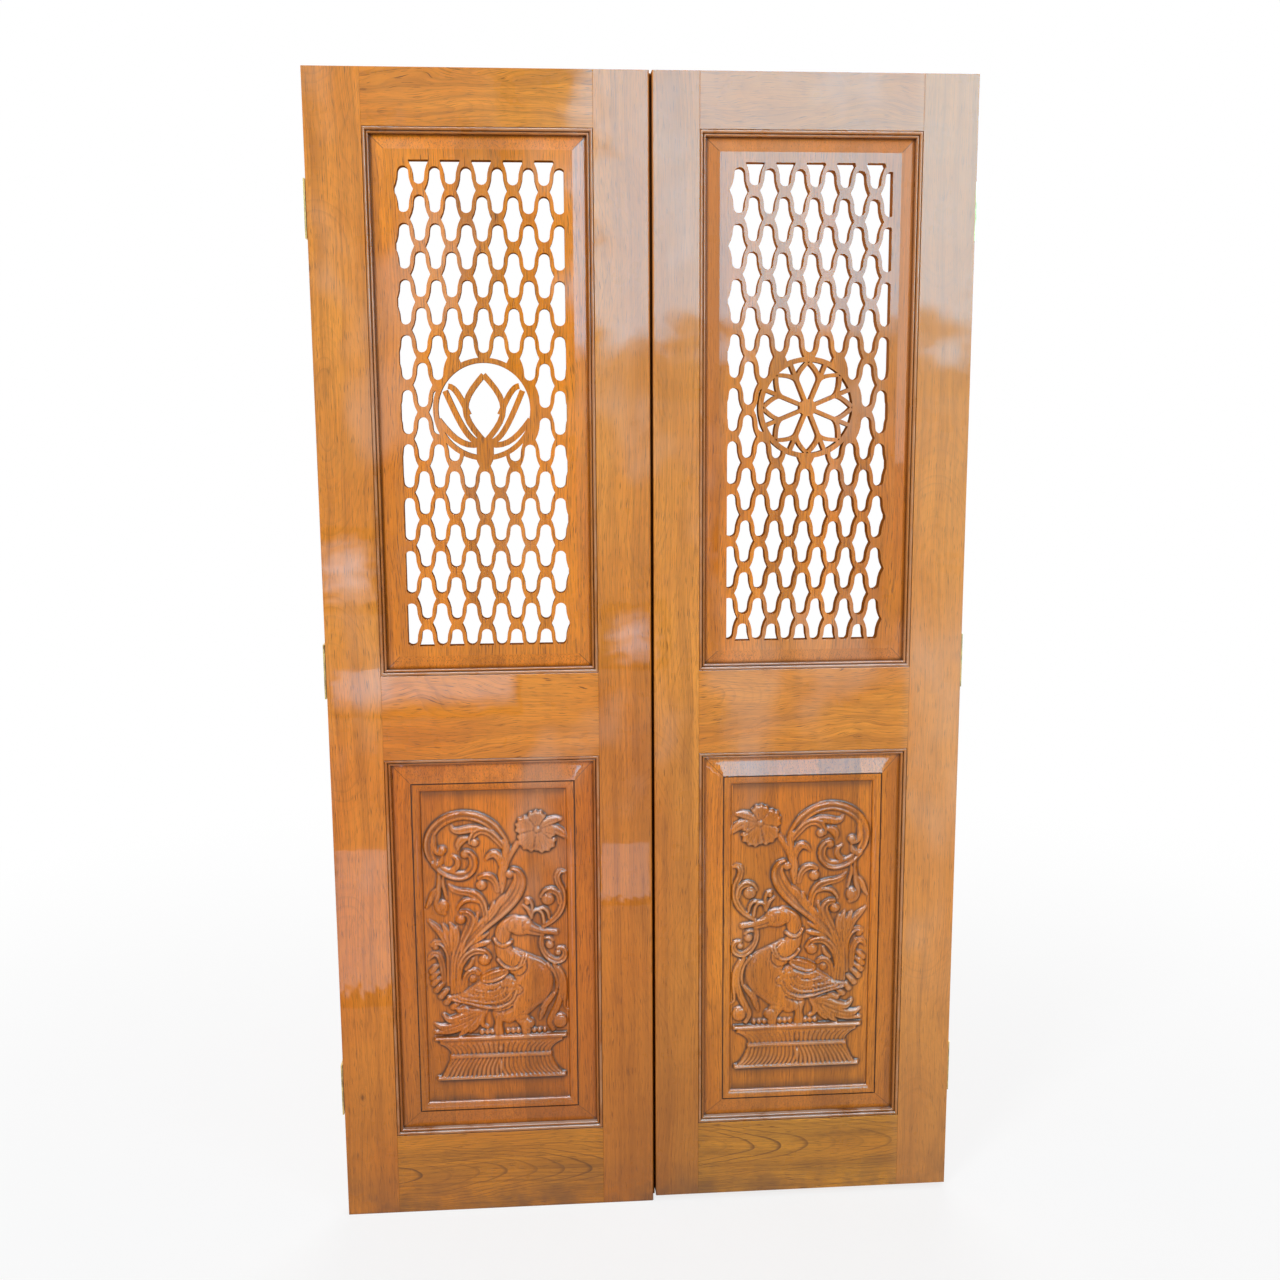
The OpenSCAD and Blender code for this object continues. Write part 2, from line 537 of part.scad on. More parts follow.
module bird() {
    stroke(0, [[40, -8, 12, 7], [56, -28, 27, 8], [66, -52, 37, 9], [66, -76, 42, 9], [56, -100, 33, 9],
        [40, -120, 26, 9],
        [20, -136, 15, 7]]);
    stroke(0, [[36, -36, 18, 8], [20, -18, 17, 8], [12, 0, 14, 8], [11, 20, 13, 8], [17, 38, 14, 8],
        [34, 47, 14, 8]]);
    boss(46, 41, 24, 19, 9, 10);
    stroke(0, [[60, 40, 9, 7], [76, 33, 6, 6], [90, 29, 5, 5], [112, 26, 5, 5]]);
    stroke(0, [[56, 30, 5, 6], [76, 24, 3, 5], [88, 22, 2, 4]]);
    stroke(0, [[38, -84, 8, 6], [24, -84, 27, 9], [0, -90, 33, 9], [-25, -94, 28, 9], [-46, -97, 19, 8],
        [-66, -99, 11, 7],
        [-92, -97, 4, 5]]);
    stroke(1, [[-26, -57, 6, 8], [-8, -53, 10, 9], [8, -48, 9, 9], [17, -43, 4, 8]]);
    for (f = [[[-84, -101], [-58, -107], [-30, -116], [0, -119], [26, -107], [36, -86]],
        [[-72, -98], [-45, -104], [-16, -109], [10, -104], [25, -89]], [[-56, -92], [-34, -96],
            [-10, -98], [8, -92], [15, -80]],
        [[-42, -82], [-24, -86], [-5, -86], [5, -78]]]) stroke(0, [for (q = f) [q[0], q[1], 3, 9]]);
    stroke(0, [[-1, 13, 2, 9], [5, 7, 2, 9], [13, 5, 2, 9], [21, 8, 2, 9], [25, 13, 2, 9]]);
    stroke(0, [[4, -28, 3, 9], [14, -38, 3, 9], [28, -42, 3, 9], [42, -38, 3, 9], [50, -22, 3, 9]]);
    stroke(0, [[2, -122, 13, 7], [1, -140, 10, 8], [0, -156, 8, 8], [0, -174, 9, 7]]);
    stroke(0, [[38, -134, 12, 7], [48, -148, 11, 8], [53, -160, 10, 8], [53, -174, 8, 7]]);
    for (q = [[-31, 5], [-21, 5], [-12, 5], [18, 5], [28, 5], [38, 5], [68, 5], [78, 5], [88, 4]])
        boss(q[0], -169, q[1], 6, 6, 6);
}

module front_vines() {
    stroke(3, [[88, 38, 3, 4], [106, 50, 4, 6], [120, 67, 5, 7], [127, 88, 5, 7], [125, 108, 5, 7],
        [118, 124, 5, 7],
        [116, 137, 5, 7], [121, 145, 4, 6], [131, 144, 2, 4]]);
    stroke(3, [[121, 84, 4, 5], [117, 101, 5, 7], [106, 109, 6, 7], [94, 107, 5, 7], [87, 98, 4, 6]]);
    stroke(0, [[66, 58, 3, 5], [60, 74, 4, 6], [51, 81, 2, 4]]);
    stroke(0, [[68, 64, 3, 5], [68, 80, 3, 6], [64, 91, 3, 6], [57, 93, 3, 5]]);
    stroke(0, [[66, 56, 3, 5], [70, 68, 3, 6], [79, 71, 3, 6], [87, 64, 3, 6], [90, 46, 3, 5]]);
    stroke(0, [[80, 73, 2, 4], [90, 74, 3, 6], [97, 67, 3, 6], [100, 54, 2, 4]]);
    stroke(3, [[86, 24, 3, 4], [84, 6, 4, 6], [88, -10, 4, 7], [98, -24, 5, 7], [111, -31, 5, 7],
        [123, -28, 5, 7],
        [129, -17, 5, 7], [125, -7, 4, 7], [116, -6, 3, 6]]);
    stroke(0, [[96, -36, 3, 6], [108, -54, 3, 6], [113, -74, 3, 6], [111, -93, 2, 4]]);
    stroke(1, [[108, -38, 4, 5], [119, -60, 5, 6], [122, -86, 6, 6], [115, -114, 6, 6], [105, -136, 6, 6],
        [98, -152, 5, 6],
        [104, -168, 4, 5]]);
    stroke(0, [[116, -42, 2, 4], [126, -62, 3, 5], [129, -86, 3, 5], [127, -110, 3, 5], [127, -123, 2, 4],
        [133, -131, 2, 3]]);
    stroke(1, [[108, -96, 3, 4], [99, -106, 5, 5], [90, -116, 6, 6], [84, -124, 3, 4]]);
    stroke(1, [[92, -120, 3, 4], [84, -134, 5, 5], [80, -147, 2, 4]]);
    boss(98, 92, 12, 12, 9);
    boss(59, 86, 5, 5, 7, 8);
    boss(116, -14, 6, 6, 7, 8);
    boss(100, 2, 8, 8, 8);
    boss(117, -151, 14, 15, 9);
}

module tail_leaves() {
    for (f = [[[-22, -124, 4, 4], [-45, -125, 6, 6], [-65, -124, 6, 6], [-81, -119, 2, 4]],
        [[-28, -127, 4, 4], [-50, -131, 8, 7], [-75, -139, 8, 8], [-92, -141, 6, 8], [-102, -131, 3, 6]],
        [[-40, -133, 4, 4], [-60, -145, 7, 6], [-85, -154, 7, 7], [-105, -156, 6, 7], [-119, -149, 2, 4]],
        [[-44, -138, 4, 4], [-64, -154, 6, 6], [-90, -164, 6, 6], [-119, -166, 3, 5]],
        [[-36, -134, 4, 4], [-50, -150, 7, 6], [-64, -165, 6, 6], [-74, -174, 2, 4]],
        [[-30, -130, 4, 4], [-38, -146, 6, 6], [-46, -158, 6, 5], [-54, -168, 2, 4]],
        [[-24, -128, 4, 4], [-31, -142, 5, 6], [-29, -154, 4, 5], [-20, -160, 3, 4]]]) stroke(1, f);
}

// One row of upright flutes between two levels, from the ends a0 and b0 below to a1 and b1 above.
module flutes(n, v0, v1, a0, b0, a1, b1, h0, h1) {
    m = 2 * n;
    function across(a, b, i) = a + (b - a) * i / m;
    function swell(i) = 1 - 0.35 * (i % 2);
    pts = concat([for (i = [0:m]) [across(a0, b0, i), -h0 * swell(i), v0]],
        [for (i = [0:m]) [across(a1, b1, i), -h1 * swell(i), v1]],
        [[a0, 1, v0], [b0, 1, v0], [b1, 1, v1], [a1, 1, v1]]);
    t = m + 1;
    e = 2 * t;
    polyhedron(pts, concat(
        [for (i = [0:m - 1]) [i, t + i, i + 1]],
        [for (i = [0:m - 1]) [i + 1, t + i, t + i + 1]],
        [for (i = [0:m - 1]) [i, i + 1, e]], [[m, e + 1, e]],
        [for (i = [0:m - 1]) [t + i, e + 3, t + i + 1]], [[t + m, e + 3, e + 2]],
        [[0, e, e + 3], [0, e + 3, t], [m, t + m, e + 2], [m, e + 2, e + 1], [e, e + 1, e + 2],
            [e, e + 2, e + 3]]));
}

module pedestal() {
    box(-121, 130, -9, 1, -184, -175);
    box(-110, 120, -6, 1, -190, -184 + eps);
    flutes(20, -212, -190 + eps, -92, 100, -107, 118, 4, 7);
    box(-92, 100, -7, 1, -221, -212 + eps);
    flutes(18, -253, -221 + eps, -108, 119, -91, 99, 8, 5);
    box(-118, 127, -9, 1, -263, -253 + eps);
}

module carved_panel(s) {
    a = opening_width / 2;
    c = lower_opening / 2;
    field = [field_half_width, field_half_height];
    color(wood) place(s) translate([hinge_stile + a, 0, lower_bottom + c]) union() {
        difference() {
            raised_panel(a, c, carved_bevel, carved_setback);
            intersection() {
                upright(-c, c) field_profile(field_half_width);
                level(-a, a) field_profile(field_half_height);
            }
            plate(carved_setback - 1, carved_setback + sunk_line_depth) difference() {
                square(2 * field, center = true);
                square(2 * (field - [sunk_line_width, sunk_line_width]), center = true);
            }
        }
        translate([0, field_y, 0])
            scale([field_half_width / drawn[0], relief / drawn[1], field_half_height / drawn[2]]) {
                scrolls();
                flower();
                plumes();
                hanging_bud();
                bird();
                front_vines();
                tail_leaves();
                pedestal();
            }
    }
}

// Bead section in x (inward from the opening's edge) and depth: two rounds that step down inward.
module bead_section() {
    back = tongue_front - bead_play;
    step = 2 * bead_round;
    translate([bead_round, bead_round]) circle(r = bead_round, $fn = 32);
    translate([bead_width - bead_inner_round, bead_round + bead_inner_round]) circle(r = bead_inner_round,
        $fn = 32);
    polygon([[0, bead_round], [step, bead_round], [step, bead_round + bead_inner_round],
        [bead_width, bead_round + bead_inner_round], [bead_width, back], [0, back]]);
}

// Bead of one side, drawn upright at the opening's left edge and mitred at both ends.
module bead_bar(half) {
    w = bead_width + 1;
    difference() {
        upright(-half, half) bead_section();
        for (m = [0, 1]) mirror([0, 0, m]) translate([0, leaf_thickness, half]) rotate([90, 0, 0])
            linear_extrude(height = 2 * leaf_thickness) polygon([[-eps, 0], [w, -w], [w, 1], [-eps, 1]]);
    }
}

module bead(s, p, e) {
    a = opening_width / 2;
    c = (p == 0 ? upper_opening : lower_opening) / 2;
    z = p == 0 ? (upper_bottom + upper_top) / 2 : lower_bottom + lower_opening / 2;
    color(wood_dark) place(s) translate([hinge_stile + a, 0, z]) {
        if (e == 0) rotate([0, 90, 0]) translate([-c, 0, 0]) bead_bar(a);
        if (e == 1) rotate([0, -90, 0]) translate([-c, 0, 0]) bead_bar(a);
        if (e == 2) translate([-a, 0, 0]) bead_bar(c);
        if (e == 3) mirror([1, 0, 0]) translate([-a, 0, 0]) bead_bar(c);
    }
}

// Screw axes of a flap, pointing into the leaf from its edge.
module screw_places() {
    for (j = [-1, 1]) for (k = [-1, 1])
        translate([0, leaf_thickness - flap_width / 2 + j * screw_across / 2, k * screw_along / 2])
            rotate([0, 90, 0]) children();
}

// Countersunk holes of radius r through a flap.
module screw_holes(r) {
    top = screw_head / 2 + screw_clearance + eps;
    screw_places() {
        translate([0, 0, -eps]) cylinder(r = r, h = flap_thickness + 2 * eps);
        translate([0, 0, -eps]) cylinder(r1 = top, r2 = r, h = top - r);
    }
}

module hinge_screws(s) {
    sink = (screw_head - screw_shank) / 2;
    color(brass) place(s) for (l = [0:2]) translate([0, 0, hinge_z(l)]) screw_places() difference() {
        union() {
            cylinder(r1 = screw_head / 2, r2 = screw_shank / 2, h = sink);
            translate([0, 0, sink - eps]) cylinder(r = screw_shank / 2, h = screw_length - sink - 3);
            translate([0, 0, screw_length - 3 - eps]) cylinder(r1 = screw_shank / 2, r2 = 0.3, h = 3);
        }
        translate([-screw_head / 2, -0.5, -eps]) cube([screw_head, 1, 0.8]);
    }
}

// Knuckles count from the foot: the jamb flap has the first, third and fifth, the leaf flap the others.
module knuckles(own) {
    for (i = own) translate([pin_x, pin_y,
        -hinge_length / 2 + i * knuckle + (i == 0 ? 0 : knuckle_clearance / 2)])
        cylinder(r = barrel_radius, h = knuckle - (i == 0 || i == 4 ? 0.5 : 1) * knuckle_clearance);
}

module knuckle_room(other) {
    for (i = other) translate([pin_x, pin_y, -hinge_length / 2 + i * knuckle - knuckle_clearance / 2])
        cylinder(r = barrel_radius + barrel_clearance, h = knuckle + knuckle_clearance);
}

module pin_bore() {
    translate([pin_x, pin_y, -hinge_length]) cylinder(r = pin_radius + pin_clearance, h = 2 * hinge_length);
}

module leaf_flap(s, l) {
    color(brass) place(s) translate([0, 0, hinge_z(l)]) difference() {
        union() {
            difference() {
                box(0, flap_thickness, leaf_thickness - flap_width, pin_y, -hinge_length / 2,
                    hinge_length / 2);
                knuckle_room([0, 2, 4]);
            }
            knuckles([1, 3]);
        }
        pin_bore();
        screw_holes(screw_shank / 2 + screw_clearance);
    }
}

module jamb_flap(s, l) {
    color(brass) place(s) translate([-hinge_gap, 0, hinge_z(l)]) difference() {
        union() {
            difference() {
                box(-flap_thickness, 0, leaf_thickness - flap_width, pin_y, -hinge_length / 2,
                    hinge_length / 2);
                translate([hinge_gap, 0, 0]) knuckle_room([1, 3]);
            }
            translate([hinge_gap, 0, 0]) knuckles([0, 2, 4]);
        }
        translate([hinge_gap, 0, 0]) pin_bore();
        mirror([1, 0, 0]) screw_holes(jamb_hole / 2);
    }
}

module hinge_pin(s, l) {
    head = 0.7 * pin_radius;
    color(brass) place(s) translate([pin_x, pin_y, hinge_z(l)]) {
        translate([0, 0, -hinge_length / 2]) cylinder(r = pin_radius, h = hinge_length);
        for (m = [0, 1]) mirror([0, 0, m]) translate([0, 0, hinge_length / 2])
            cylinder(r1 = pin_radius + 1.2, r2 = pin_radius - 0.8, h = head);
    }
}

for (s = [0, 1]) {
    hinge_stile(s);
    meeting_stile(s);
    rail(s, 2);
    rail(s, 1);
    rail(s, 0);
    jali_panel(s);
    carved_panel(s);
    hinge_screws(s);
    for (e = [0:3]) {
        bead(s, 0, e);
        bead(s, 1, e);
    }
    for (l = [0:2]) {
        leaf_flap(s, l);
        jamb_flap(s, l);
        hinge_pin(s, l);
    }
}
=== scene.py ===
"""Looks of the carved teak double door: finished wood, fine carving, brass, camera, floor and light."""
import math
import bmesh
import bpy
import numpy as np
from mathutils import Matrix, Vector

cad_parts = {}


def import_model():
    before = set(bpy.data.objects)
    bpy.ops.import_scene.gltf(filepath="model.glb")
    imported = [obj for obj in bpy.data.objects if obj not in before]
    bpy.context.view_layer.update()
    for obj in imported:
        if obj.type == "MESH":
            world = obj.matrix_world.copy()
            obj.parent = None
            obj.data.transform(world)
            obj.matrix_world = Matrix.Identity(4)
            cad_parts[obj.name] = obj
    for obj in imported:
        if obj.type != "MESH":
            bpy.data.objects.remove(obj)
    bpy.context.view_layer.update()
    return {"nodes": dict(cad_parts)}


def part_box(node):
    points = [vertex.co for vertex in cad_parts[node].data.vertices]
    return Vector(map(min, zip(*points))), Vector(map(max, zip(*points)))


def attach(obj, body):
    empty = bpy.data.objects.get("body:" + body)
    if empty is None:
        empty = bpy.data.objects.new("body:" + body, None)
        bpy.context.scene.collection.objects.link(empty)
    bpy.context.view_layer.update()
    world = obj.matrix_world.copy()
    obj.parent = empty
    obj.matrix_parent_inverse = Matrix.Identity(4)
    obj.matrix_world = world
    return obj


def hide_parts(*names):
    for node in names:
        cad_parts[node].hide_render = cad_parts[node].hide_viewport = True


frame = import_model()
scene = bpy.context.scene
scene.view_settings.view_transform = "Standard"
nodes_of = frame["nodes"]
MM = 0.001
SIDES = ("left", "right")
EDGES = ("top", "bottom", "hinge_side", "meeting_side")


def middle_of(node):
    low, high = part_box(node)
    return (low + high) / 2


# Places that the frame gives, in metres.
FACE_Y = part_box("left_hinge_stile")[0][1]
PANEL_X = middle_of("right_carved_panel")[0]
CARVED_Z = middle_of("right_carved_panel")[2]
JALI_Z = middle_of("right_jali_panel")[2]
LATTICE_FRONT_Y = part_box("right_jali_panel")[0][1]
PANEL_BACK_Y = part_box("right_jali_panel")[1][1]
RIGHT_LEAF_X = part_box("right_meeting_stile")[0][0]

# Camera, fitted to the corners of the leaves in the photograph, whose frame is square.
PHOTO_PX = 1280
FOCAL_PX = 1382.8
SENSOR_MM = 36
CAMERA_AT = Vector((-0.2016, -2.5077, 1.5176))
CAMERA_YAW = 0.07454
CAMERA_PITCH = 0.16169
CAMERA_ROLL = -0.00538
CLIP_END = 60


def make_camera():
    level = math.cos(CAMERA_PITCH)
    fwd = Vector((math.sin(CAMERA_YAW) * level, math.cos(CAMERA_YAW) * level, -math.sin(CAMERA_PITCH)))
    right = Vector((math.cos(CAMERA_YAW), -math.sin(CAMERA_YAW), 0))
    up = right.cross(fwd)
    across = right * math.cos(CAMERA_ROLL) + up * math.sin(CAMERA_ROLL)
    rise = -right * math.sin(CAMERA_ROLL) + up * math.cos(CAMERA_ROLL)
    data = bpy.data.cameras.new("camera")
    data.sensor_width = SENSOR_MM
    data.lens = SENSOR_MM * FOCAL_PX / PHOTO_PX
    data.clip_end = CLIP_END
    cam = bpy.data.objects.new("camera", data)
    scene.collection.objects.link(cam)
    turn = Matrix((across, rise, -fwd)).transposed().to_4x4()
    cam.matrix_world = Matrix.Translation(CAMERA_AT) @ turn
    scene.camera = cam


make_camera()


# Small helpers for node trees.


def new_tree(name):
    mat = bpy.data.materials.new(name)
    mat.use_nodes = True
    mat.node_tree.nodes.clear()
    return mat, mat.node_tree


def put(t, socket, value):
    if isinstance(value, bpy.types.NodeSocket):
        t.links.new(value, socket)
    else:
        socket.default_value = value


def add(t, kind, inputs=None, **props):
    n = t.nodes.new(kind)
    for key, value in props.items():
        setattr(n, key, value)
    for key, value in (inputs or {}).items():
        put(t, n.inputs[key], value)
    return n


def calc(t, op, a, b=0.0, clamp=False):
    return add(t, "ShaderNodeMath", {0: a, 1: b}, operation=op, use_clamp=clamp).outputs[0]


def product(t, amount, *factors):
    """A fixed amount times each of the factors."""
    for factor in factors:
        amount = calc(t, "MULTIPLY", factor, amount)
    return amount


def vec(t, op, a, b):
    n = add(t, "ShaderNodeVectorMath", {0: a, 1: b}, operation=op)
    return n.outputs["Value" if op == "LENGTH" else "Vector"]


def axis_of(t, vector, axis):
    return add(t, "ShaderNodeSeparateXYZ", {0: vector}).outputs[axis]


def object_place(t):
    return add(t, "ShaderNodeTexCoord").outputs["Object"]


def attribute(t, name, output):
    return add(t, "ShaderNodeAttribute", attribute_name=name).outputs[output]


def facing_up(t):
    return axis_of(t, add(t, "ShaderNodeNewGeometry").outputs["Normal"], "Z")


def noise(t, at, scale, detail=2.0, rough=0.5, dims="3D"):
    key = "W" if dims == "1D" else "Vector"
    inputs = {key: at, "Scale": scale, "Detail": detail, "Roughness": rough}
    return add(t, "ShaderNodeTexNoise", inputs, noise_dimensions=dims).outputs["Fac"]


def stretched(t, at, scale, detail=2.0, rough=0.5):
    """Noise with a scale of its own along each axis."""
    return noise(t, vec(t, "MULTIPLY", at, scale), 1.0, detail, rough)


def span(t, value, low, high, to_low=0.0, to_high=1.0):
    inputs = {"Value": value, "From Min": low, "From Max": high, "To Min": to_low, "To Max": to_high}
    return add(t, "ShaderNodeMapRange", inputs, interpolation_type="SMOOTHSTEP", clamp=True).outputs["Result"]


def mix(t, share, a, b, blend="MIX"):
    n = add(t, "ShaderNodeMix", data_type="RGBA", blend_type=blend, clamp_factor=True)
    put(t, n.inputs[0], share)
    put(t, n.inputs[6], a)
    put(t, n.inputs[7], b)
    return n.outputs[2]


def creases(t, distance):
    """How deep a point lies in a corner, from 0 in the open to 1."""
    corner = add(t, "ShaderNodeAmbientOcclusion", {"Distance": distance}, samples=6).outputs["AO"]
    return span(t, corner, 0.8, 0.3)


def put_out(t, shader):
    out = add(t, "ShaderNodeOutputMaterial")
    t.links.new(shader.outputs[0], out.inputs[0])


def rgb(r, g, b):
    return (r, g, b, 1.0)


# Varnished teak. The attribute "grain" holds (across, depth, along) of each board in metres, so that the
# figure runs along the board and no two boards look alike.
# Painted shade for the top of the right leaf.
FAR_TOP_SHADE = rgb(0.60, 0.235, 0.07)
RED_TINT = rgb(0.98, 0.80, 0.45)
# Painted reflection: pale veil of the sky on the far edge.
VEIL_REFLECTION = rgb(0.80, 0.58, 0.44)
# Lighter, more orange tone for the far hinge stile.
FAR_EDGE_TONE = rgb(0.95, 0.52, 0.22)
SHADED = rgb(0.26, 0.10, 0.018)
DIRT = rgb(0.10, 0.05, 0.03)
# Pale haze on the varnish that paints a reflection of the sky.
HAZE_AND_SHEEN = rgb(0.76, 0.48, 0.34)
# Painted shade, with some grime, in corners, creases and the meeting gap.
CREASE_SHADE = rgb(0.07, 0.028, 0.012)
RUBBED = rgb(0.62, 0.34, 0.18)
# Pale dust and painted sky highlight on beads that face up.
BEAD_DUST_AND_SHEEN = rgb(0.66, 0.50, 0.40)
# Painted shade, with old polish, in the hollows of the carving.
FILM_AND_HOLLOW_SHADE = rgb(0.075, 0.034, 0.017)
# Pale dust and painted sky highlight on up-facing ledges of the carving.
CARVING_DUST_AND_SHEEN = rgb(0.40, 0.33, 0.28)
# Wear and painted glints on the ridges of the carving.
RIDGE_WEAR_AND_GLINT = rgb(0.78, 0.45, 0.25)

# Layers of dark streaks, broad to fine: scale across, in depth and along, detail and roughness of the noise,
# the range of it that shows, and strength.
STREAKS = [((34, 34, 13), 3.0, 0.55, 0.45, 0.72, 0.22),
           ((42, 42, 0.9), 2.0, 0.55, 0.42, 0.72, 0.33),
           ((240, 240, 2.2), 3.0, 0.6, 0.46, 0.70, 0.36),
           ((820, 820, 9), 3.0, 0.65, 0.50, 0.70, 0.52)]
PORES = (1100, 1100, 34)


def swaying_grain(t, wander):
    """Grain coordinates whose fibres sway from side to side along the board."""
    g = attribute(t, "grain", "Vector")
    bend = stretched(t, g, (7, 7, 2.4), 3.0)
    sway = product(t, wander, calc(t, "SUBTRACT", bend, 0.5))
    return vec(t, "ADD", g, add(t, "ShaderNodeCombineXYZ", {0: sway}).outputs[0])


def stave_chance(t, g, stave):
    """One random number for each stave that a panel is glued up from."""
    number = calc(t, "FLOOR", calc(t, "DIVIDE", axis_of(t, g, "X"), stave))
    return add(t, "ShaderNodeTexWhiteNoise", {"W": number}, noise_dimensions="1D").outputs["Value"]


def ring_reach(t, g, wander, chance, arched):
    """Distance from the heart of the tree, which the growth rings follow."""
    across, depth, along = add(t, "ShaderNodeSeparateXYZ", {0: g}).outputs
    if chance is not None:
        across = calc(t, "ADD", across, product(t, 0.35, chance))
    wave = calc(t, "SUBTRACT", stretched(t, g, (16, 16, 6), 4.0, 0.55), 0.5)
    across = calc(t, "ADD", across, product(t, 0.4 * wander, wave))
    if arched:
        rise = product(t, 15.0, calc(t, "MULTIPLY", across, across))
        return calc(t, "ADD", product(t, 0.14, along), rise)
    pith = noise(t, product(t, 2.3, along), 1.0, 1.0, dims="1D")
    below = calc(t, "ADD", product(t, 0.16, pith), depth)
    return calc(t, "SQRT", calc(t, "ADD", calc(t, "POWER", across, 2.0), calc(t, "POWER", below, 2.0)))


def round_knots(t, g, reach, knots):
    """Rings pushed out round each knot, and the dark hearts of the knots."""
    hearts = None
    for across, along, size in knots:
        off = vec(t, "MULTIPLY", vec(t, "SUBTRACT", g, (across, 0, along)), (1, 0, 0.55))
        far = vec(t, "LENGTH", off, (0, 0, 0))
        reach = calc(t, "ADD", reach, product(t, size * 2.2, span(t, far, size * 3.2, size * 0.3)))
        heart = span(t, far, size * 0.8, size * 0.2)
        hearts = heart if hearts is None else calc(t, "MAXIMUM", hearts, heart)
    return reach, hearts


def ring_lines(t, g, reach, ring, crisp):
    """Dark late wood at the outside of each growth ring, in some rings stronger than in others."""
    tone = stretched(t, g, (9, 9, 1.6), 3.0)
    turns = calc(t, "ADD", calc(t, "DIVIDE", reach, ring), product(t, 1.6, tone))
    step = calc(t, "FRACT", turns)
    rise = calc(t, "MULTIPLY", span(t, step, crisp, 0.95), span(t, step, 1.0, 0.955))
    strong = span(t, noise(t, product(t, 0.37, turns), 1.0, 1.0, dims="1D"), 0.35, 0.75)
    return calc(t, "MULTIPLY", rise, calc(t, "ADD", product(t, 0.75, strong), 0.25))


def streaked(t, g, light, warm, dark):
    """Ground colour with its streaks, and the finest layer of them."""
    patch = stretched(t, g, (5, 5, 2.1), 4.0, 0.6)
    colour = mix(t, span(t, patch, 0.32, 0.68), light, warm)
    for scale, detail, rough, low, high, strength in STREAKS:
        layer = stretched(t, g, scale, detail, rough)
        colour = mix(t, product(t, strength, span(t, layer, low, high)), colour, dark)
    return colour, layer


def stave_tint(t, colour, chance):
    tint = span(t, chance, 0.0, 1.0, 0.86, 1.08)
    pick = add(t, "ShaderNodeCombineXYZ", {0: tint, 1: tint, 2: tint}).outputs[0]
    return mix(t, 1.0, colour, pick, "MULTIPLY")


def toned_by_place(t, colour, place, cloud, dark):
    """Slow changes over the door: painted shade on the far top and by the gap, red near foot, and a painted
    pale reflection on the far edge.
    """
    beside = axis_of(t, place, "X")
    height = axis_of(t, place, "Z")
    # Painted shade: the top of the right leaf darker.
    far_top_shade = product(t, 0.55, span(t, height, 1.3, 1.75), span(t, beside, -0.15, 0.0))
    colour = mix(t, far_top_shade, colour, FAR_TOP_SHADE)
    # Painted shade on the stiles by the meeting gap, below the lock rail.
    gap_shade = span(t, calc(t, "ABSOLUTE", beside), 0.14, 0.04)
    colour = mix(t, product(t, 0.28, gap_shade, span(t, height, 1.05, 0.85)), colour, dark)
    near_foot = product(t, 0.8, span(t, height, 1.15, 0.85), span(t, beside, 0.1, -0.05))
    colour = mix(t, near_foot, colour, RED_TINT, "MULTIPLY")
    # Painted reflection: a pale veil of the sky on the far hinge stile, halfway up.
    far_edge_veil = product(t, 0.3, span(t, beside, 0.47, 0.50), span(t, cloud, 0.38, 0.6))
    half_way = calc(t, "MULTIPLY", span(t, height, 0.35, 0.55), span(t, height, 1.3, 0.95))
    return mix(t, calc(t, "MULTIPLY", far_edge_veil, half_way), colour, VEIL_REFLECTION)


def mitre_lines(t, place, middle, half, wide):
    """Fine joint lines at the corners of a panel's sloped border, on its front."""
    off_x = calc(t, "ABSOLUTE", calc(t, "SUBTRACT", calc(t, "ABSOLUTE", axis_of(t, place, "X")), PANEL_X))
    off_z = calc(t, "ABSOLUTE", calc(t, "SUBTRACT", axis_of(t, place, "Z"), middle))
    from_side = calc(t, "SUBTRACT", HALF_WIDTH * MM, off_x)
    from_end = calc(t, "SUBTRACT", half, off_z)
    line = span(t, calc(t, "ABSOLUTE", calc(t, "SUBTRACT", from_side, from_end)), 0.0014, 0.0006)
    on_slope = span(t, calc(t, "MAXIMUM", from_side, from_end), wide, wide - 0.001)
    in_front = span(t, axis_of(t, place, "Y"), 0.0, -0.005)
    return product(t, 0.6, line, on_slope, in_front)


def weathered_and_shaded(t, colour, place, grime, cloud, varnish):
    """Lighter far edge, painted shade and real dirt towards the foot, a painted sky reflection as pale haze
    on the varnish, and painted shade in corners.
    """
    beside = axis_of(t, place, "X")
    height = axis_of(t, place, "Z")
    # Far hinge stile lighter and more orange.
    colour = mix(t, product(t, 0.2, span(t, beside, 0.46, 0.5)), colour, FAR_EDGE_TONE)
    colour = mix(t, product(t, 0.40, span(t, height, 0.6, 0.05)), colour, SHADED)
    foot = product(t, 0.6, span(t, height, 0.11, 0.0), span(t, grime, 0.3, 0.7))
    colour = mix(t, foot, colour, DIRT)
    if varnish:
        # Painted reflection: pale patches of reflected sky, worn as a haze on the varnish.
        haze_and_sheen = product(t, 0.28, span(t, cloud, 0.53, 0.66), span(t, height, 0.45, 0.7))
        colour = mix(t, haze_and_sheen, colour, HAZE_AND_SHEEN)
    # Painted shade, with some grime, darkens corners and creases from ambient occlusion.
    return mix(t, product(t, 0.8 if varnish else 0.3, creases(t, 0.009)), colour, CREASE_SHADE)


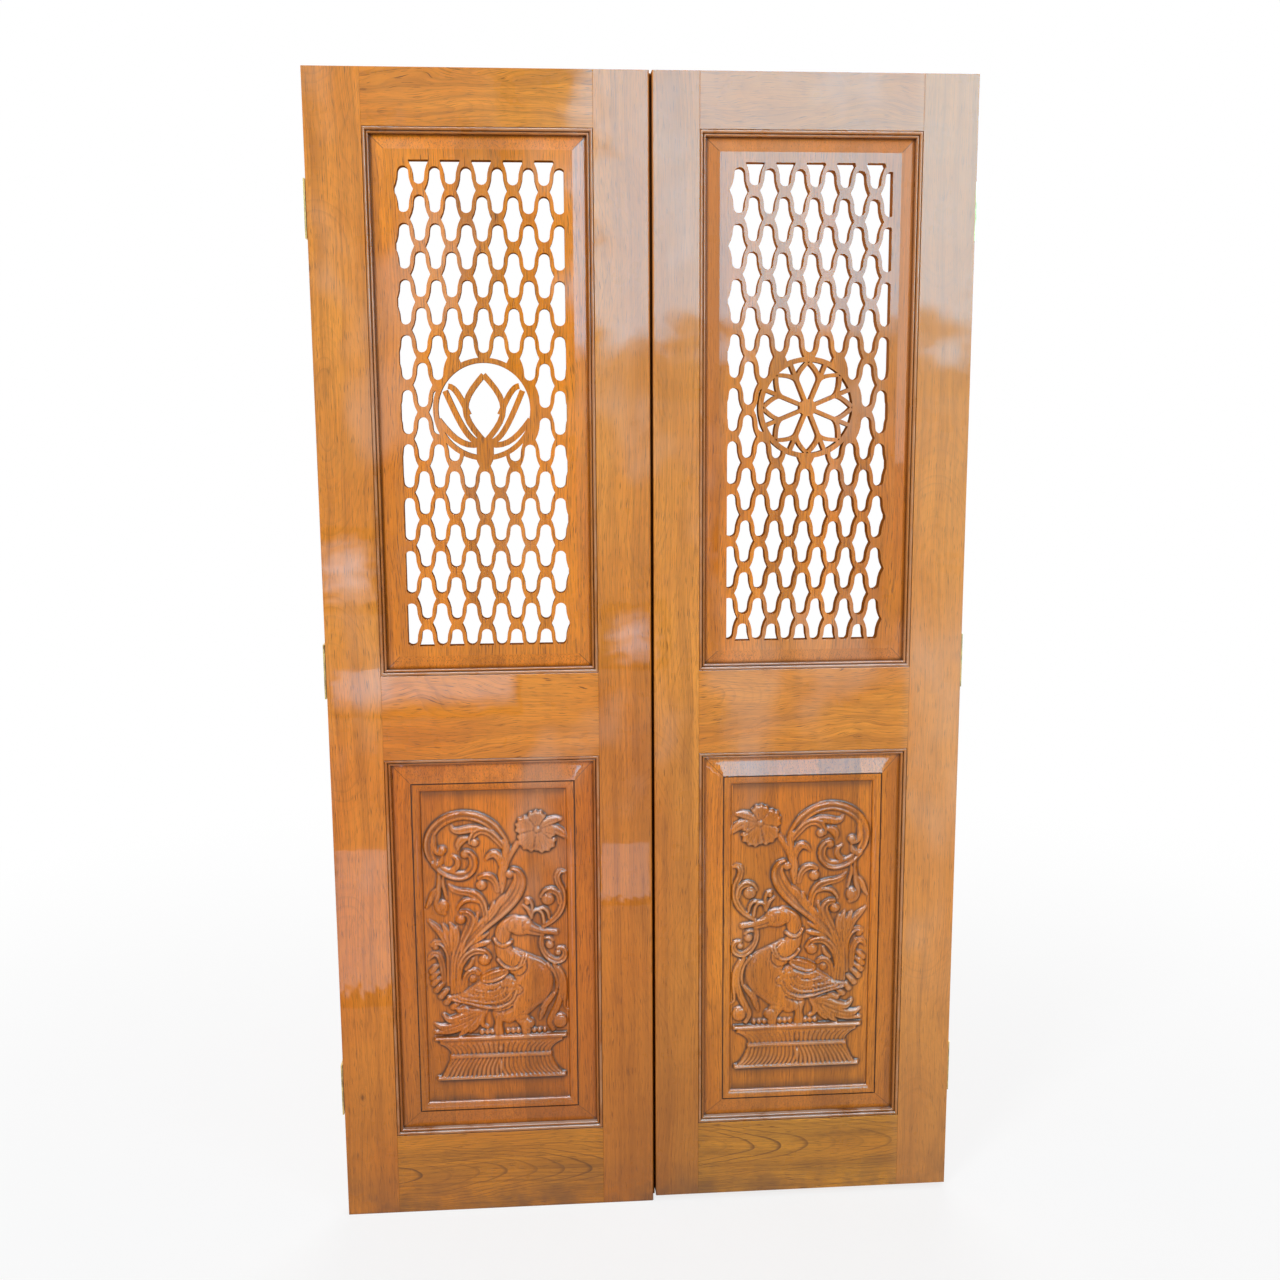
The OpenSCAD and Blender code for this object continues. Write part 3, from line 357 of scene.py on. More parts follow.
def rubbed_and_sheened_bead(t, colour, place, grime):
    """Polish rubbed off a bead's crown, and pale dust with a painted sky highlight on the beads that face up,
    most on the low ones.
    """
    crown = span(t, axis_of(t, place, "Y"), -0.0212, -0.0226)
    colour = mix(t, product(t, 0.5, crown, span(t, grime, 0.38, 0.62)), colour, RUBBED)
    # Dust and a painted sky highlight on the faces that look up.
    ledge_dust_and_sheen = calc(t, "MULTIPLY", span(t, facing_up(t), 0.25, 0.75), span(t, grime, 0.3, 0.55))
    ledge_dust_and_sheen = calc(t, "MULTIPLY", ledge_dust_and_sheen, span(t, axis_of(t, place, "Z"), 0.5, 0.3, 0.25, 0.75))
    return mix(t, ledge_dust_and_sheen, colour, BEAD_DUST_AND_SHEEN)


def carving_wear_and_light(t, colour, rough, grime):
    """Painted shade with old polish in the hollows and cut lines of the carving, dust and a painted highlight
    on its ledges, and wear with painted glints on its ridges.
    """
    # Painted shade with old polish: darker where the carving is hollow.
    film_and_shade = product(t, 0.92, attribute(t, "hollow_shade", "Fac"), span(t, grime, 0.2, 0.5))
    colour = mix(t, film_and_shade, colour, FILM_AND_HOLLOW_SHADE)
    # Dust and a painted sky highlight on ledges that face up.
    dust_and_sheen = product(t, 0.15, span(t, facing_up(t), 0.2, 0.8), span(t, grime, 0.35, 0.65))
    colour = mix(t, dust_and_sheen, colour, CARVING_DUST_AND_SHEEN)
    # Wear and painted glints: lighter where the carving stands out as a ridge.
    worn_and_glint = product(t, 0.5, attribute(t, "crest", "Fac"), span(t, grime, 0.4, 0.65))
    colour = mix(t, worn_and_glint, colour, RIDGE_WEAR_AND_GLINT)
    return colour, calc(t, "ADD", rough, product(t, 0.35, dust_and_sheen), True)


def varnish_bumps(t, place, fibre, pore):
    """Slow sag of the varnish, and with it the grain that shows through."""
    ripple = stretched(t, place, (11, 11, 7))
    sag = add(t, "ShaderNodeBump", {"Strength": 0.25, "Distance": 0.0016, "Height": ripple}).outputs[0]
    fine = calc(t, "SUBTRACT", product(t, 0.5, fibre), product(t, 0.6, pore))
    inputs = {"Strength": 0.3, "Distance": 0.0002, "Height": fine, "Normal": sag}
    return sag, add(t, "ShaderNodeBump", inputs).outputs[0]


def teak(name, light, warm, dark, ring=0.0065, figure=0.3, crisp=0.55, wander=0.05, stave=0.0, knots=(),
         carved=False, bead=False, mitre=None, arched=False, varnish=True):
    mat, t = new_tree(name)
    deep = tuple(0.35 * c for c in dark[:3]) + (1.0,)
    place = object_place(t)
    grime = stretched(t, place, (14, 14, 14), 4.0, 0.6)
    cloud = stretched(t, place, (3.4, 3.4, 2.4), 3.0, 0.55)
    g = swaying_grain(t, wander)
    chance = stave_chance(t, g, stave) if stave else None
    reach, hearts = round_knots(t, g, ring_reach(t, g, wander, chance, arched), knots)
    pore = span(t, stretched(t, g, PORES, 1.0), 0.61, 0.70)
    colour, fibre = streaked(t, g, light, warm, dark)
    colour = mix(t, product(t, figure, ring_lines(t, g, reach, ring, crisp)), colour, dark)
    colour = mix(t, product(t, 0.8, pore), colour, deep)
    if knots:
        colour = mix(t, product(t, 0.7, hearts), colour, deep)
    if stave:
        colour = stave_tint(t, colour, chance)
    colour = toned_by_place(t, colour, place, cloud, dark)
    if mitre:
        colour = mix(t, mitre_lines(t, place, *mitre), colour, deep)
    colour = weathered_and_shaded(t, colour, place, grime, cloud, varnish)
    rough = span(t, grime, 0.25, 0.75, 0.24, 0.38) if varnish else 0.8
    if bead:
        colour = rubbed_and_sheened_bead(t, colour, place, grime)
    if carved:
        colour, rough = carving_wear_and_light(t, colour, rough, grime)
    sag, normal = varnish_bumps(t, place, fibre, pore)
    shader = add(t, "ShaderNodeBsdfPrincipled", {"Base Color": colour, "Roughness": rough, "Normal": normal})
    shader.inputs["Specular IOR Level"].default_value = 0.16 if varnish else 0.0
    if varnish:
        shader.inputs["Coat Weight"].default_value = 0.6
        shader.inputs["Coat Roughness"].default_value = 0.03
        shader.inputs["Coat IOR"].default_value = 1.45
        t.links.new(sag, shader.inputs["Coat Normal"])
    put_out(t, shader)
    return mat


def brass():
    mat, t = new_tree("dull_brass")
    place = object_place(t)
    cloud = stretched(t, place, (60, 60, 60), 4.0, 0.65)
    scratch = stretched(t, place, (900, 900, 40))
    colour = mix(t, span(t, cloud, 0.35, 0.7), rgb(0.66, 0.46, 0.17), rgb(0.30, 0.19, 0.08))
    colour = mix(t, product(t, 0.7, creases(t, 0.004)), colour, rgb(0.10, 0.06, 0.03))
    rough = span(t, cloud, 0.3, 0.7, 0.26, 0.48)
    bump = add(t, "ShaderNodeBump", {"Strength": 0.2, "Distance": 0.0001, "Height": scratch}).outputs[0]
    shader = add(t, "ShaderNodeBsdfPrincipled", {"Base Color": colour, "Roughness": rough, "Normal": bump})
    shader.inputs["Metallic"].default_value = 1.0
    put_out(t, shader)
    return mat


# Half sizes of the panels inside their beads, and widths of their sloped borders, in mm.
HALF_WIDTH = 186
CARVED_HALF = 358
CARVED_SLOPE = 35
JALI_HALF = 465
JALI_SLOPE = 25

# Knots: across, along and size in metres, in the grain coordinates of the boards below.
KNOTS = [(-0.020, 11.72, 0.007), (0.012, 10.19, 0.006), (0.03, 12.2, 0.004), (0.0, 32.2, 0.007),
         (-0.03, 40.9, 0.005)]
FRAME = teak("frame_teak", rgb(0.90, 0.345, 0.042), rgb(0.81, 0.270, 0.022), rgb(0.32, 0.100, 0.012),
             figure=0.28, wander=0.035, knots=KNOTS)
RAIL = teak("rail_teak", rgb(0.90, 0.345, 0.036), rgb(0.81, 0.265, 0.018), rgb(0.36, 0.112, 0.012),
            figure=0.32, wander=0.11)
FOOT = teak("bottom_rail_teak", rgb(0.95, 0.42, 0.030), rgb(0.92, 0.35, 0.018), rgb(0.12, 0.045, 0.008),
            ring=0.0075, figure=0.9, crisp=0.74, arched=True)
PANEL = teak("panel_teak", rgb(0.90, 0.300, 0.014), rgb(0.83, 0.240, 0.007), rgb(0.32, 0.090, 0.007),
             stave=0.068, mitre=(JALI_Z, JALI_HALF * MM, JALI_SLOPE * MM))
CARVED = teak("carved_teak", rgb(0.84, 0.280, 0.018), rgb(0.76, 0.220, 0.009), rgb(0.28, 0.080, 0.007),
              stave=0.074, carved=True, mitre=(CARVED_Z, CARVED_HALF * MM, CARVED_SLOPE * MM))
BEAD = teak("bead_teak", rgb(0.60, 0.21, 0.026), rgb(0.52, 0.160, 0.014), rgb(0.22, 0.067, 0.009),
            figure=0.2, bead=True)
# Darker teak without varnish for sawn faces in the meeting gap and the lattice openings; its dark colour
# paints their shade.
SHADED_RAW = teak("cut_teak_shaded", rgb(0.42, 0.14, 0.025), rgb(0.36, 0.11, 0.014), rgb(0.14, 0.042, 0.009),
           figure=0.2, varnish=False)
BRASS = brass()


# Boards: each is a copy of its solid with softened edges and a grain direction of its own. Lengths in metres,
# angles in radians.
BOARD_SOFT = 0.0004
LATTICE_SOFT = 0.0009
BEAD_SOFT = 0.0003
SHARP_ANGLE = 0.6
LONG_EDGE = 0.03
ROUND_ANGLE = 0.5
FLAT_ANGLE = 0.05
LIP_FROM_X = 0.008
LIP_FROM_Y = 0.001
LIP_CLEAR = 0.0003
LATTICE_HALF = (0.15, 0.43)


def tag_grain(mesh, axis, centre, offset):
    """Writes (across, depth, along) for a board whose grain runs along axis 0 or 2."""
    co = np.empty(len(mesh.vertices) * 3, np.float32)
    mesh.vertices.foreach_get("co", co)
    co = co.reshape(-1, 3)
    other = 2 if axis == 0 else 0
    grain = np.stack([co[:, other] - centre[other], co[:, 1], co[:, axis] - centre[axis]], 1)
    grain += np.array(offset, np.float32)
    layer = mesh.attributes.new("grain", "FLOAT_VECTOR", "POINT")
    layer.data.foreach_set("vector", grain.astype(np.float32).ravel())


def finish_piece(obj, node, body, materials, index=None):
    obj.data.materials.clear()
    for material in materials:
        obj.data.materials.append(material)
    if index is not None:
        obj.data.polygons.foreach_set("material_index", index)
    scene.collection.objects.link(obj)
    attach(obj, body)
    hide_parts(node)


def widen_lip(bm):
    """The lip behind the meeting gap all but touches the right leaf, so that no light shows through."""
    for v in bm.verts:
        if v.co.x > LIP_FROM_X and v.co.y > LIP_FROM_Y:
            v.co.x = RIGHT_LEAF_X - LIP_CLEAR


def board(node, side, axis, offset, material, soft=BOARD_SOFT, rule=None, raw=None, rounded=False):
    """Copy of a solid: rule picks the edges to soften, and raw the faces left without varnish, in darker teak
    that paints their shade.
    """
    mesh = nodes_of[node].data.copy()
    mesh.name = node + "_wood"
    bm = bmesh.new()
    bm.from_mesh(mesh)
    bmesh.ops.remove_doubles(bm, verts=bm.verts, dist=1e-6)
    bmesh.ops.dissolve_limit(bm, angle_limit=math.radians(0.5), verts=bm.verts, edges=bm.edges)
    if node == "left_meeting_stile":
        widen_lip(bm)
    picked = [e for e in bm.edges if len(e.link_faces) == 2 and e.calc_face_angle(0) > SHARP_ANGLE
              and (rule(e) if rule else e.calc_length() > LONG_EDGE)]
    bmesh.ops.bevel(bm, geom=picked, offset=soft, segments=1, affect="EDGES", clamp_overlap=True)
    bm.normal_update()
    for e in bm.edges:
        if len(e.link_faces) == 2:
            wall = all(abs(f.normal.y) < 0.3 for f in e.link_faces)
            e.smooth = e.calc_face_angle(0) < (ROUND_ANGLE if wall or rounded else FLAT_ANGLE)
    index = [int(bool(raw and raw(f))) for f in bm.faces]
    bm.to_mesh(mesh)
    bm.free()
    tag_grain(mesh, axis, middle_of(node), offset)
    mesh.polygons.foreach_set("use_smooth", [True] * len(mesh.polygons))
    obj = bpy.data.objects.new(node + "_wood", mesh)
    finish_piece(obj, node, side + "_leaf", (material, SHADED_RAW), index)


def on_flat(e):
    """Edges of the lattice openings on the panel's front and back."""
    return any(all(abs(v.co.y - y) < 1e-5 for v in e.verts) for y in (LATTICE_FRONT_Y, PANEL_BACK_Y))


def in_window(f):
    """Sawn walls of the lattice openings."""
    at = f.calc_center_median()
    off = (abs(abs(at.x) - PANEL_X), abs(at.z - JALI_Z))
    return abs(f.normal.y) < 0.3 and off[0] < LATTICE_HALF[0] and off[1] < LATTICE_HALF[1]


def at_gap(f):
    """Edges of the leaves inside the meeting gap, and the front of the lip behind it."""
    at = f.calc_center_median()
    lip = f.normal.y < -0.8 and at.y > 0 and 0.004 < at.x < 0.03
    return lip or (abs(f.normal.x) > 0.8 and 0.002 < at.x < 0.012)


for i, s in enumerate(SIDES):
    k = 20 * i
    board(s + "_hinge_stile", s, 2, (0.03 - 0.02 * i, 0, 11 + k), FRAME)
    board(s + "_meeting_stile", s, 2, (-0.07 + 0.15 * i, 0, 15 + k), FRAME, raw=at_gap)
    board(s + "_top_rail", s, 0, (0.02 - 0.05 * i, 0, 32 + k), RAIL)
    board(s + "_lock_rail", s, 0, (-0.06 + 0.03 * i, 0, 36 + k), RAIL)
    board(s + "_bottom_rail", s, 0, (0.004 - 0.03 * i, 0, 5.35 + 0.8 * i), FOOT)
    board(s + "_jali_panel", s, 2, (0.31 + i, 0, 60 + k), PANEL, LATTICE_SOFT,
          rule=on_flat, raw=in_window)
    for p in ("upper", "lower"):
        for j, e in enumerate(EDGES):
            axis = 0 if j < 2 else 2
            board(f"{s}_{p}_bead_{e}", s, axis, (0.1 * j, 0, 80 + 3 * j + k), BEAD, BEAD_SOFT,
                  rounded=True)

# Carving. Strokes are [across, up, half-width, height] in mm from the middle of the left panel. Kind 0 is
# a rounded cord, 1 a veined leaf, 2 and 3 a scroll with its rim on the left or right of its run, and 4 a
# tray with a raised rim. The plumes lie behind the lobes of the tail, and the sprays before them.
PLUMES = [
    (3, [[20, 205, 6, 5], [12, 218, 7, 6], [0, 234, 8, 7], [-16, 247, 8, 8], [-36, 256, 8, 8],
         [-60, 259, 8, 8], [-85, 253, 8, 8], [-105, 240, 8, 8], [-118, 222, 8, 8], [-122, 202, 8, 8],
         [-119, 183, 7, 7], [-111, 168, 6, 6]]),
    (3, [[-112, 168, 6, 6], [-102, 157, 7, 7], [-90, 149, 8, 8], [-75, 143, 8, 8], [-61, 142, 8, 8],
         [-49, 147, 7, 8], [-41, 158, 7, 8], [-40, 172, 7, 8], [-45, 183, 6, 8], [-54, 188, 5, 8]]),
    (3, [[22, 190, 5, 5], [14, 200, 5, 6], [3, 214, 6, 7], [-10, 225, 6, 7], [-25, 229, 6, 7],
         [-36, 224, 6, 7], [-42, 215, 5, 7], [-44, 206, 4, 6]]),
    (1, [[-16, 232, 3, 4], [-35, 233, 6, 6], [-52, 231, 7, 6], [-66, 229, 6, 6], [-76, 232, 4, 5],
         [-79, 238, 2, 4]]),
    (1, [[-50, 214, 4, 4], [-60, 211, 7, 5], [-66, 203, 6, 5], [-67, 193, 2, 3]]),
    (0, [[-110, 234, 2, 3], [-112, 216, 4, 5], [-112, 201, 5, 6], [-107, 190, 5, 7], [-98, 187, 5, 7]]),
    (1, [[-108, 166, 4, 5], [-100, 170, 5, 5], [-96, 180, 2, 3]]),
    (1, [[-88, 152, 3, 4], [-76, 155, 5, 5], [-69, 164, 5, 5], [-70, 174, 4, 5], [-78, 181, 2, 4]]),
    (0, [[12, 108, 2, 3], [13, 124, 6, 5], [14, 142, 8, 6], [17, 160, 8, 6], [21, 178, 8, 6],
         [22, 195, 7, 6], [17, 208, 5, 5]]),
    (1, [[12, 158, 4, 4], [9, 174, 7, 6], [0, 183, 7, 7], [-10, 180, 5, 6], [-17, 172, 2, 4]]),
    (3, [[4, 112, 4, 4], [0, 128, 5, 6], [-9, 138, 6, 7], [-20, 140, 5, 7], [-29, 136, 4, 6]]),
    (0, [[22, 166, 5, 5], [30, 182, 5, 6], [40, 198, 5, 6], [50, 211, 4, 5]]),
    (3, [[-80, -30, 4, 4], [-66, -4, 7, 6], [-47, 20, 9, 7], [-22, 46, 11, 8], [5, 69, 12, 9],
         [27, 92, 13, 9], [40, 113, 13, 9], [45, 131, 11, 9], [41, 145, 8, 9], [34, 150, 6, 8]]),
    (1, [[-26, 44, 3, 4], [-12, 60, 5, 6], [0, 76, 6, 6], [8, 91, 5, 5], [17, 102, 2, 4]]),
    (1, [[-24, 50, 2, 4], [-15, 64, 4, 5], [-8, 76, 4, 5], [-4, 88, 2, 4]]),
    (3, [[-20, 52, 4, 4], [-20, 72, 5, 6], [-25, 90, 6, 7], [-36, 103, 7, 7], [-52, 109, 6, 7],
         [-68, 112, 5, 6], [-80, 117, 4, 5], [-86, 124, 2, 4]]),
    (0, [[-30, 90, 3, 4], [-44, 95, 4, 6], [-58, 93, 4, 6], [-68, 84, 3, 5], [-71, 76, 2, 4]]),
    (3, [[-72, -4, 4, 4], [-60, 22, 6, 6], [-50, 42, 7, 7], [-46, 58, 7, 8], [-53, 68, 6, 8],
         [-63, 70, 5, 7]]),
    (1, [[-46, 34, 3, 4], [-38, 52, 4, 5], [-34, 68, 2, 4]]),
    (1, [[-88, -10, 4, 4], [-94, 12, 6, 6], [-104, 32, 6, 6], [-116, 46, 5, 5], [-126, 56, 2, 4]]),
    (1, [[-86, -5, 4, 4], [-88, 18, 6, 6], [-94, 36, 6, 6], [-100, 48, 2, 4]]),
    (1, [[-82, 0, 4, 4], [-80, 22, 7, 6], [-82, 38, 6, 6], [-86, 49, 2, 4]]),
    (1, [[-78, -2, 3, 4], [-74, 18, 5, 6], [-73, 32, 4, 5], [-75, 42, 2, 4]]),
    (2, [[-90, -70, 4, 4], [-89, -20, 5, 6], [-94, 0, 5, 7], [-103, 11, 5, 7], [-114, 13, 4, 6],
         [-121, 8, 3, 5]]),
    (2, [[-100, -64, 4, 4], [-102, -36, 5, 6], [-106, -18, 5, 7], [-114, -9, 5, 7], [-123, -13, 4, 6],
         [-128, -20, 2, 4]]),
    (0, [[-86, -88, 3, 5], [-85, -50, 3, 5], [-82, -18, 3, 5], [-76, 8, 2, 4]]),
    (0, [[-80, -88, 3, 5], [-80, -50, 3, 5], [-76, -18, 3, 5], [-67, 11, 2, 4]]),
    (0, [[-74, -88, 3, 5], [-75, -50, 3, 5], [-70, -18, 3, 5], [-58, 14, 2, 4]]),
    (0, [[-68, -88, 3, 5], [-70, -50, 3, 5], [-64, -18, 3, 5], [-49, 17, 2, 4]]),
    (2, [[-72, -70, 4, 4], [-69, -38, 5, 6], [-59, -18, 6, 7], [-46, -8, 6, 8], [-33, -6, 6, 8],
         [-21, -10, 5, 8], [-14, -20, 4, 7]]),
    (2, [[-62, -84, 4, 4], [-60, -60, 5, 6], [-53, -49, 5, 7], [-43, -46, 5, 7], [-35, -51, 4, 6]]),
    (1, [[-58, -42, 3, 4], [-50, -34, 4, 5], [-45, -22, 2, 4]]),
    (1, [[-56, 2, 3, 4], [-44, 12, 5, 6], [-30, 20, 5, 6], [-16, 28, 2, 4]]),
    (1, [[-52, -3, 3, 4], [-38, 5, 5, 6], [-25, 8, 5, 6], [-13, 11, 2, 4]]),
]
SPRAYS = [
    (0, [[-104, 150, 3, 4], [-104, 132, 4, 5], [-106, 112, 5, 6], [-110, 92, 5, 6], [-106, 76, 5, 6],
         [-96, 70, 4, 5]]),
    (0, [[-96, 146, 2, 4], [-97, 128, 3, 5], [-94, 112, 3, 5], [-91, 98, 2, 4]]),
    (1, [[-106, 120, 3, 4], [-116, 108, 5, 5], [-122, 94, 5, 5], [-129, 82, 2, 4]]),
    (3, [[88, 38, 3, 4], [106, 50, 4, 6], [120, 67, 5, 7], [127, 88, 5, 7], [125, 108, 5, 7],
         [118, 124, 5, 7], [116, 137, 5, 7], [121, 145, 4, 6], [131, 144, 2, 4]]),
    (3, [[121, 84, 4, 5], [117, 101, 5, 7], [106, 109, 6, 7], [94, 107, 5, 7], [87, 98, 4, 6]]),
    (0, [[66, 58, 3, 5], [60, 74, 4, 6], [51, 81, 2, 4]]),
    (0, [[68, 64, 3, 5], [68, 80, 3, 6], [64, 91, 3, 6], [57, 93, 3, 5]]),
    (0, [[66, 56, 3, 5], [70, 68, 3, 6], [79, 71, 3, 6], [87, 64, 3, 6], [90, 46, 3, 5]]),
    (0, [[80, 73, 2, 4], [90, 74, 3, 6], [97, 67, 3, 6], [100, 54, 2, 4]]),
    (3, [[86, 24, 3, 4], [84, 6, 4, 6], [88, -10, 4, 7], [98, -24, 5, 7], [111, -31, 5, 7],
         [123, -28, 5, 7], [129, -17, 5, 7], [125, -7, 4, 7], [116, -6, 3, 6]]),
    (0, [[92, 15, 2, 4], [100, 15, 3, 5], [106, 10, 2, 4]]),
    (0, [[96, -36, 3, 6], [108, -54, 3, 6], [113, -74, 3, 6], [111, -93, 2, 4]]),
    (1, [[108, -38, 4, 5], [119, -60, 5, 6], [122, -86, 6, 6], [115, -114, 6, 6], [105, -136, 6, 6],
         [98, -152, 5, 6], [104, -168, 4, 5]]),
    (0, [[116, -42, 2, 4], [126, -62, 3, 5], [129, -86, 3, 5], [127, -110, 3, 5], [127, -123, 2, 4],
         [133, -131, 2, 3]]),
    (1, [[108, -96, 3, 4], [99, -106, 5, 5], [90, -116, 6, 6], [84, -124, 3, 4]]),
    (1, [[92, -120, 3, 4], [84, -134, 5, 5], [80, -147, 2, 4]]),
    (1, [[-22, -124, 4, 4], [-45, -125, 6, 6], [-65, -124, 6, 6], [-81, -119, 2, 4]]),
    (1, [[-28, -127, 4, 4], [-50, -131, 8, 7], [-75, -139, 8, 8], [-92, -141, 6, 8],
         [-102, -131, 3, 6]]),
    (1, [[-40, -133, 4, 4], [-60, -145, 7, 6], [-85, -154, 7, 7], [-105, -156, 6, 7],
         [-119, -149, 2, 4]]),
    (1, [[-44, -138, 4, 4], [-64, -154, 6, 6], [-90, -164, 6, 6], [-119, -166, 3, 5]]),
    (1, [[-36, -134, 4, 4], [-50, -150, 7, 6], [-64, -165, 6, 6], [-74, -174, 2, 4]]),
    (1, [[-30, -130, 4, 4], [-38, -146, 6, 6], [-46, -158, 6, 5], [-54, -168, 2, 4]]),
    (1, [[-24, -128, 4, 4], [-31, -142, 5, 6], [-29, -154, 4, 5], [-20, -160, 3, 4]]),
]

# Petals of the great flower are turn, half-angle and reach. Bosses are across, up, their two radii and
# height, lobes run from one point to another, and toes are across and radius.
PETALS = [(95, 40, 35), (166, 38, 40), (236, 40, 45), (296, 36, 47), (350, 26, 36)]
LEAF_PETALS = [[[88, 234, 4, 5], [98, 241, 8, 7], [112, 246, 7, 6], [124, 247, 3, 4]],
               [[92, 228, 4, 5], [108, 229, 8, 7], [122, 223, 8, 6], [133, 214, 5, 5],
                [138, 207, 2, 3]]]
BOSSES = [(-55, 184, 8, 8, 9), (-37, 206, 8, 8, 9), (-97, 193, 8, 8, 9), (-110, 165, 8, 7, 8),
          (-26, 123, 10, 10, 9), (27, 143, 8, 8, 9), (-66, 57, 10, 9, 9), (-114, 4, 6, 6, 7),
          (-23, -24, 11, 11, 9), (-46, -61, 7, 8, 6), (-98, 84, 11, 13, 9), (98, 92, 12, 12, 9),
          (59, 86, 5, 5, 7), (116, -14, 6, 6, 7), (100, 2, 8, 8, 8), (117, -151, 14, 15, 9),
          (80, 229, 7, 7, 8)]
LOBES = [(-122, -44, -112, -34), (-121, -56, -110, -46), (-119, -68, -107, -58), (-114, -81, -102, -69),
         (-106, -94, -94, -82), (-96, -106, -84, -96), (-84, -116, -72, -107), (-72, -124, -58, -117)]
TOES = [(-31, 5), (-21, 5), (-12, 5), (18, 5), (28, 5), (38, 5), (68, 5), (78, 5), (88, 4)]

# Bird.
BODY = [[34, -14, 10, 7], [50, -36, 24, 8], [66, -60, 35, 9], [60, -84, 36, 9], [50, -100, 30, 9],
        [36, -120, 24, 9], [20, -136, 15, 7]]
NECK = [[36, -36, 18, 8], [20, -18, 17, 8], [12, 0, 14, 8], [11, 20, 13, 8], [17, 38, 14, 8],
        [34, 47, 14, 8]]
BEAK = [[60, 40, 9, 7], [76, 33, 6, 6], [90, 29, 5, 5], [112, 26, 5, 5]]
BEAK_LOW = [[56, 30, 5, 6], [76, 24, 3, 5], [88, 22, 2, 4]]
WING = [[38, -84, 8, 6], [24, -84, 27, 8.4], [0, -90, 33, 8.6], [-25, -94, 28, 8.4], [-46, -97, 19, 8],
        [-66, -99, 11, 7], [-92, -97, 4, 5]]
SADDLE = [[-24, -61, 7, 8], [-14, -59, 10, 9], [4, -53, 10, 9], [14, -49, 7, 8.5]]
FEATHERS = [[[-84, -101], [-58, -107], [-30, -116], [0, -119], [26, -107], [36, -86]],
            [[-72, -98], [-45, -104], [-16, -109], [10, -104], [25, -89]],
            [[-56, -92], [-34, -96], [-10, -98], [8, -92], [15, -80]],
            [[-42, -82], [-24, -86], [-5, -86], [5, -78]]]
COLLARS = [[[-4, 17, 3, 9], [2, 8, 4, 10], [11, 4, 4, 10.5], [20, 6, 4, 10.5], [27, 10, 3, 9]],
           [[2, -24, 3, 9], [12, -36, 3.5, 10], [27, -42, 3.5, 10.5], [42, -37, 3.5, 10.5],
            [50, -18, 3, 9.5]],
           [[38, -40, 2, 9.5], [49, -34, 2, 10], [56, -18, 2, 9.5]]]
LEGS = [[[4, -122, 13, 7], [3, -136, 12, 8], [1, -150, 7, 7], [0, -162, 8, 7], [0, -174, 10, 6]],
        [[38, -134, 12, 7], [48, -146, 12, 8], [53, -158, 10, 8], [53, -174, 9, 6]]]

# Sections of the forms: share of the way from the middle to the edge, and share of the height there. For a
# petal it is the height in mm.
RIM = ([-1, -0.94, -0.82, -0.6, -0.3, 0, 0.2, 0.42, 0.62, 0.82, 0.95, 1],
       [0, 0.42, 0.6, 0.55, 0.42, 0.42, 0.58, 0.9, 1, 0.88, 0.46, 0])
LEAF = ([0, 0.1, 0.3, 0.68, 0.9, 1], [0.70, 0.86, 1, 0.84, 0.5, 0])
TRAY = ([0, 0.45, 0.58, 0.68, 0.86, 1], [0.62, 0.6, 0.72, 1, 0.94, 0])
PETAL = ([0, 0.2, 0.55, 0.8, 0.93, 1], [4, 4.6, 5.4, 6.6, 7.4, 3])

# Middle of the great flower, two single bosses, how high the toes lie, half-width and height of a feather,
# and how far bosses are sunk.
FLOWER = (80, 229)
HEAD = (46, 41, 24, 19, 9)
FOOT_KNOB = (58, -154, 11, 11, 8)
TOE_UP = -169
FEATHER_SIZE = [3, 9.6]
BOSS_SINK = 1.2

# Pedestal: slabs as left, right, bottom, top and height; rows of flutes as number, bottom, top, left and
# right ends below and above, and how the sides bend; the row of beads as up, half-height, middle,
# half-width and pitch.
SLABS = [(-121, 130, -183, -175, 9), (-112, 122, -190, -182, 6.4), (-93, 101, -220, -212, 7),
         (-118, 127, -263, -255, 9)]
UPPER_FLUTES = (22, -213, -189, -90, 98, -110, 121, 2.4)
LOWER_FLUTES = (26, -256, -219, -112, 123, -92, 100, 0.6)
BEAD_ROW = (-192.5, 2.4, 5, 108, 5.6)
PEDESTAL_BOSSES = [(4, -201, 5, 9, 8.4), (4, -237, 5, 13, 8.6)]

# The panel behind the carving, in mm: depths behind the leaf's face; the sunk line, the cove and the field,
# measured in from the sloped border; how far the edge is tucked under the beads; low, high and step of the
# fine grid.
EDGE_DEPTH = 12.65
FRAME_DEPTH = 3
FIELD_DEPTH = 12
LINE_DEPTH = 6
LINE_FROM = 0.2
LINE_TO = 2.4
COVE = 17
FIELD_FROM = 20
TUCKED = 1
INNER_WIDTH = HALF_WIDTH - CARVED_SLOPE
INNER_HEIGHT = CARVED_HALF - CARVED_SLOPE
FINE_WIDTH = (-133.0, 141.6, 1.4)
FINE_HEIGHT = (-266.0, 272.9, 1.45)


def run_through(points, n=8):
    """Smooth run through the points, n steps to a point."""
    p = np.array(points, float)
    i = np.arange(len(p) - 1)
    a = p[np.maximum(i - 1, 0)][:, None]
    b = p[i][:, None]
    c = p[i + 1][:, None]
    d = p[np.minimum(i + 2, len(p) - 1)][:, None]
    t = (np.arange(n) / n)[None, :, None]
    q = 0.5 * (2 * b + (c - a) * t + (2 * a - 5 * b + 4 * c - d) * t ** 2 + (3 * b - a - 3 * c + d) * t ** 3)
    return np.concatenate([q.reshape(-1, p.shape[1]), p[-1:]])


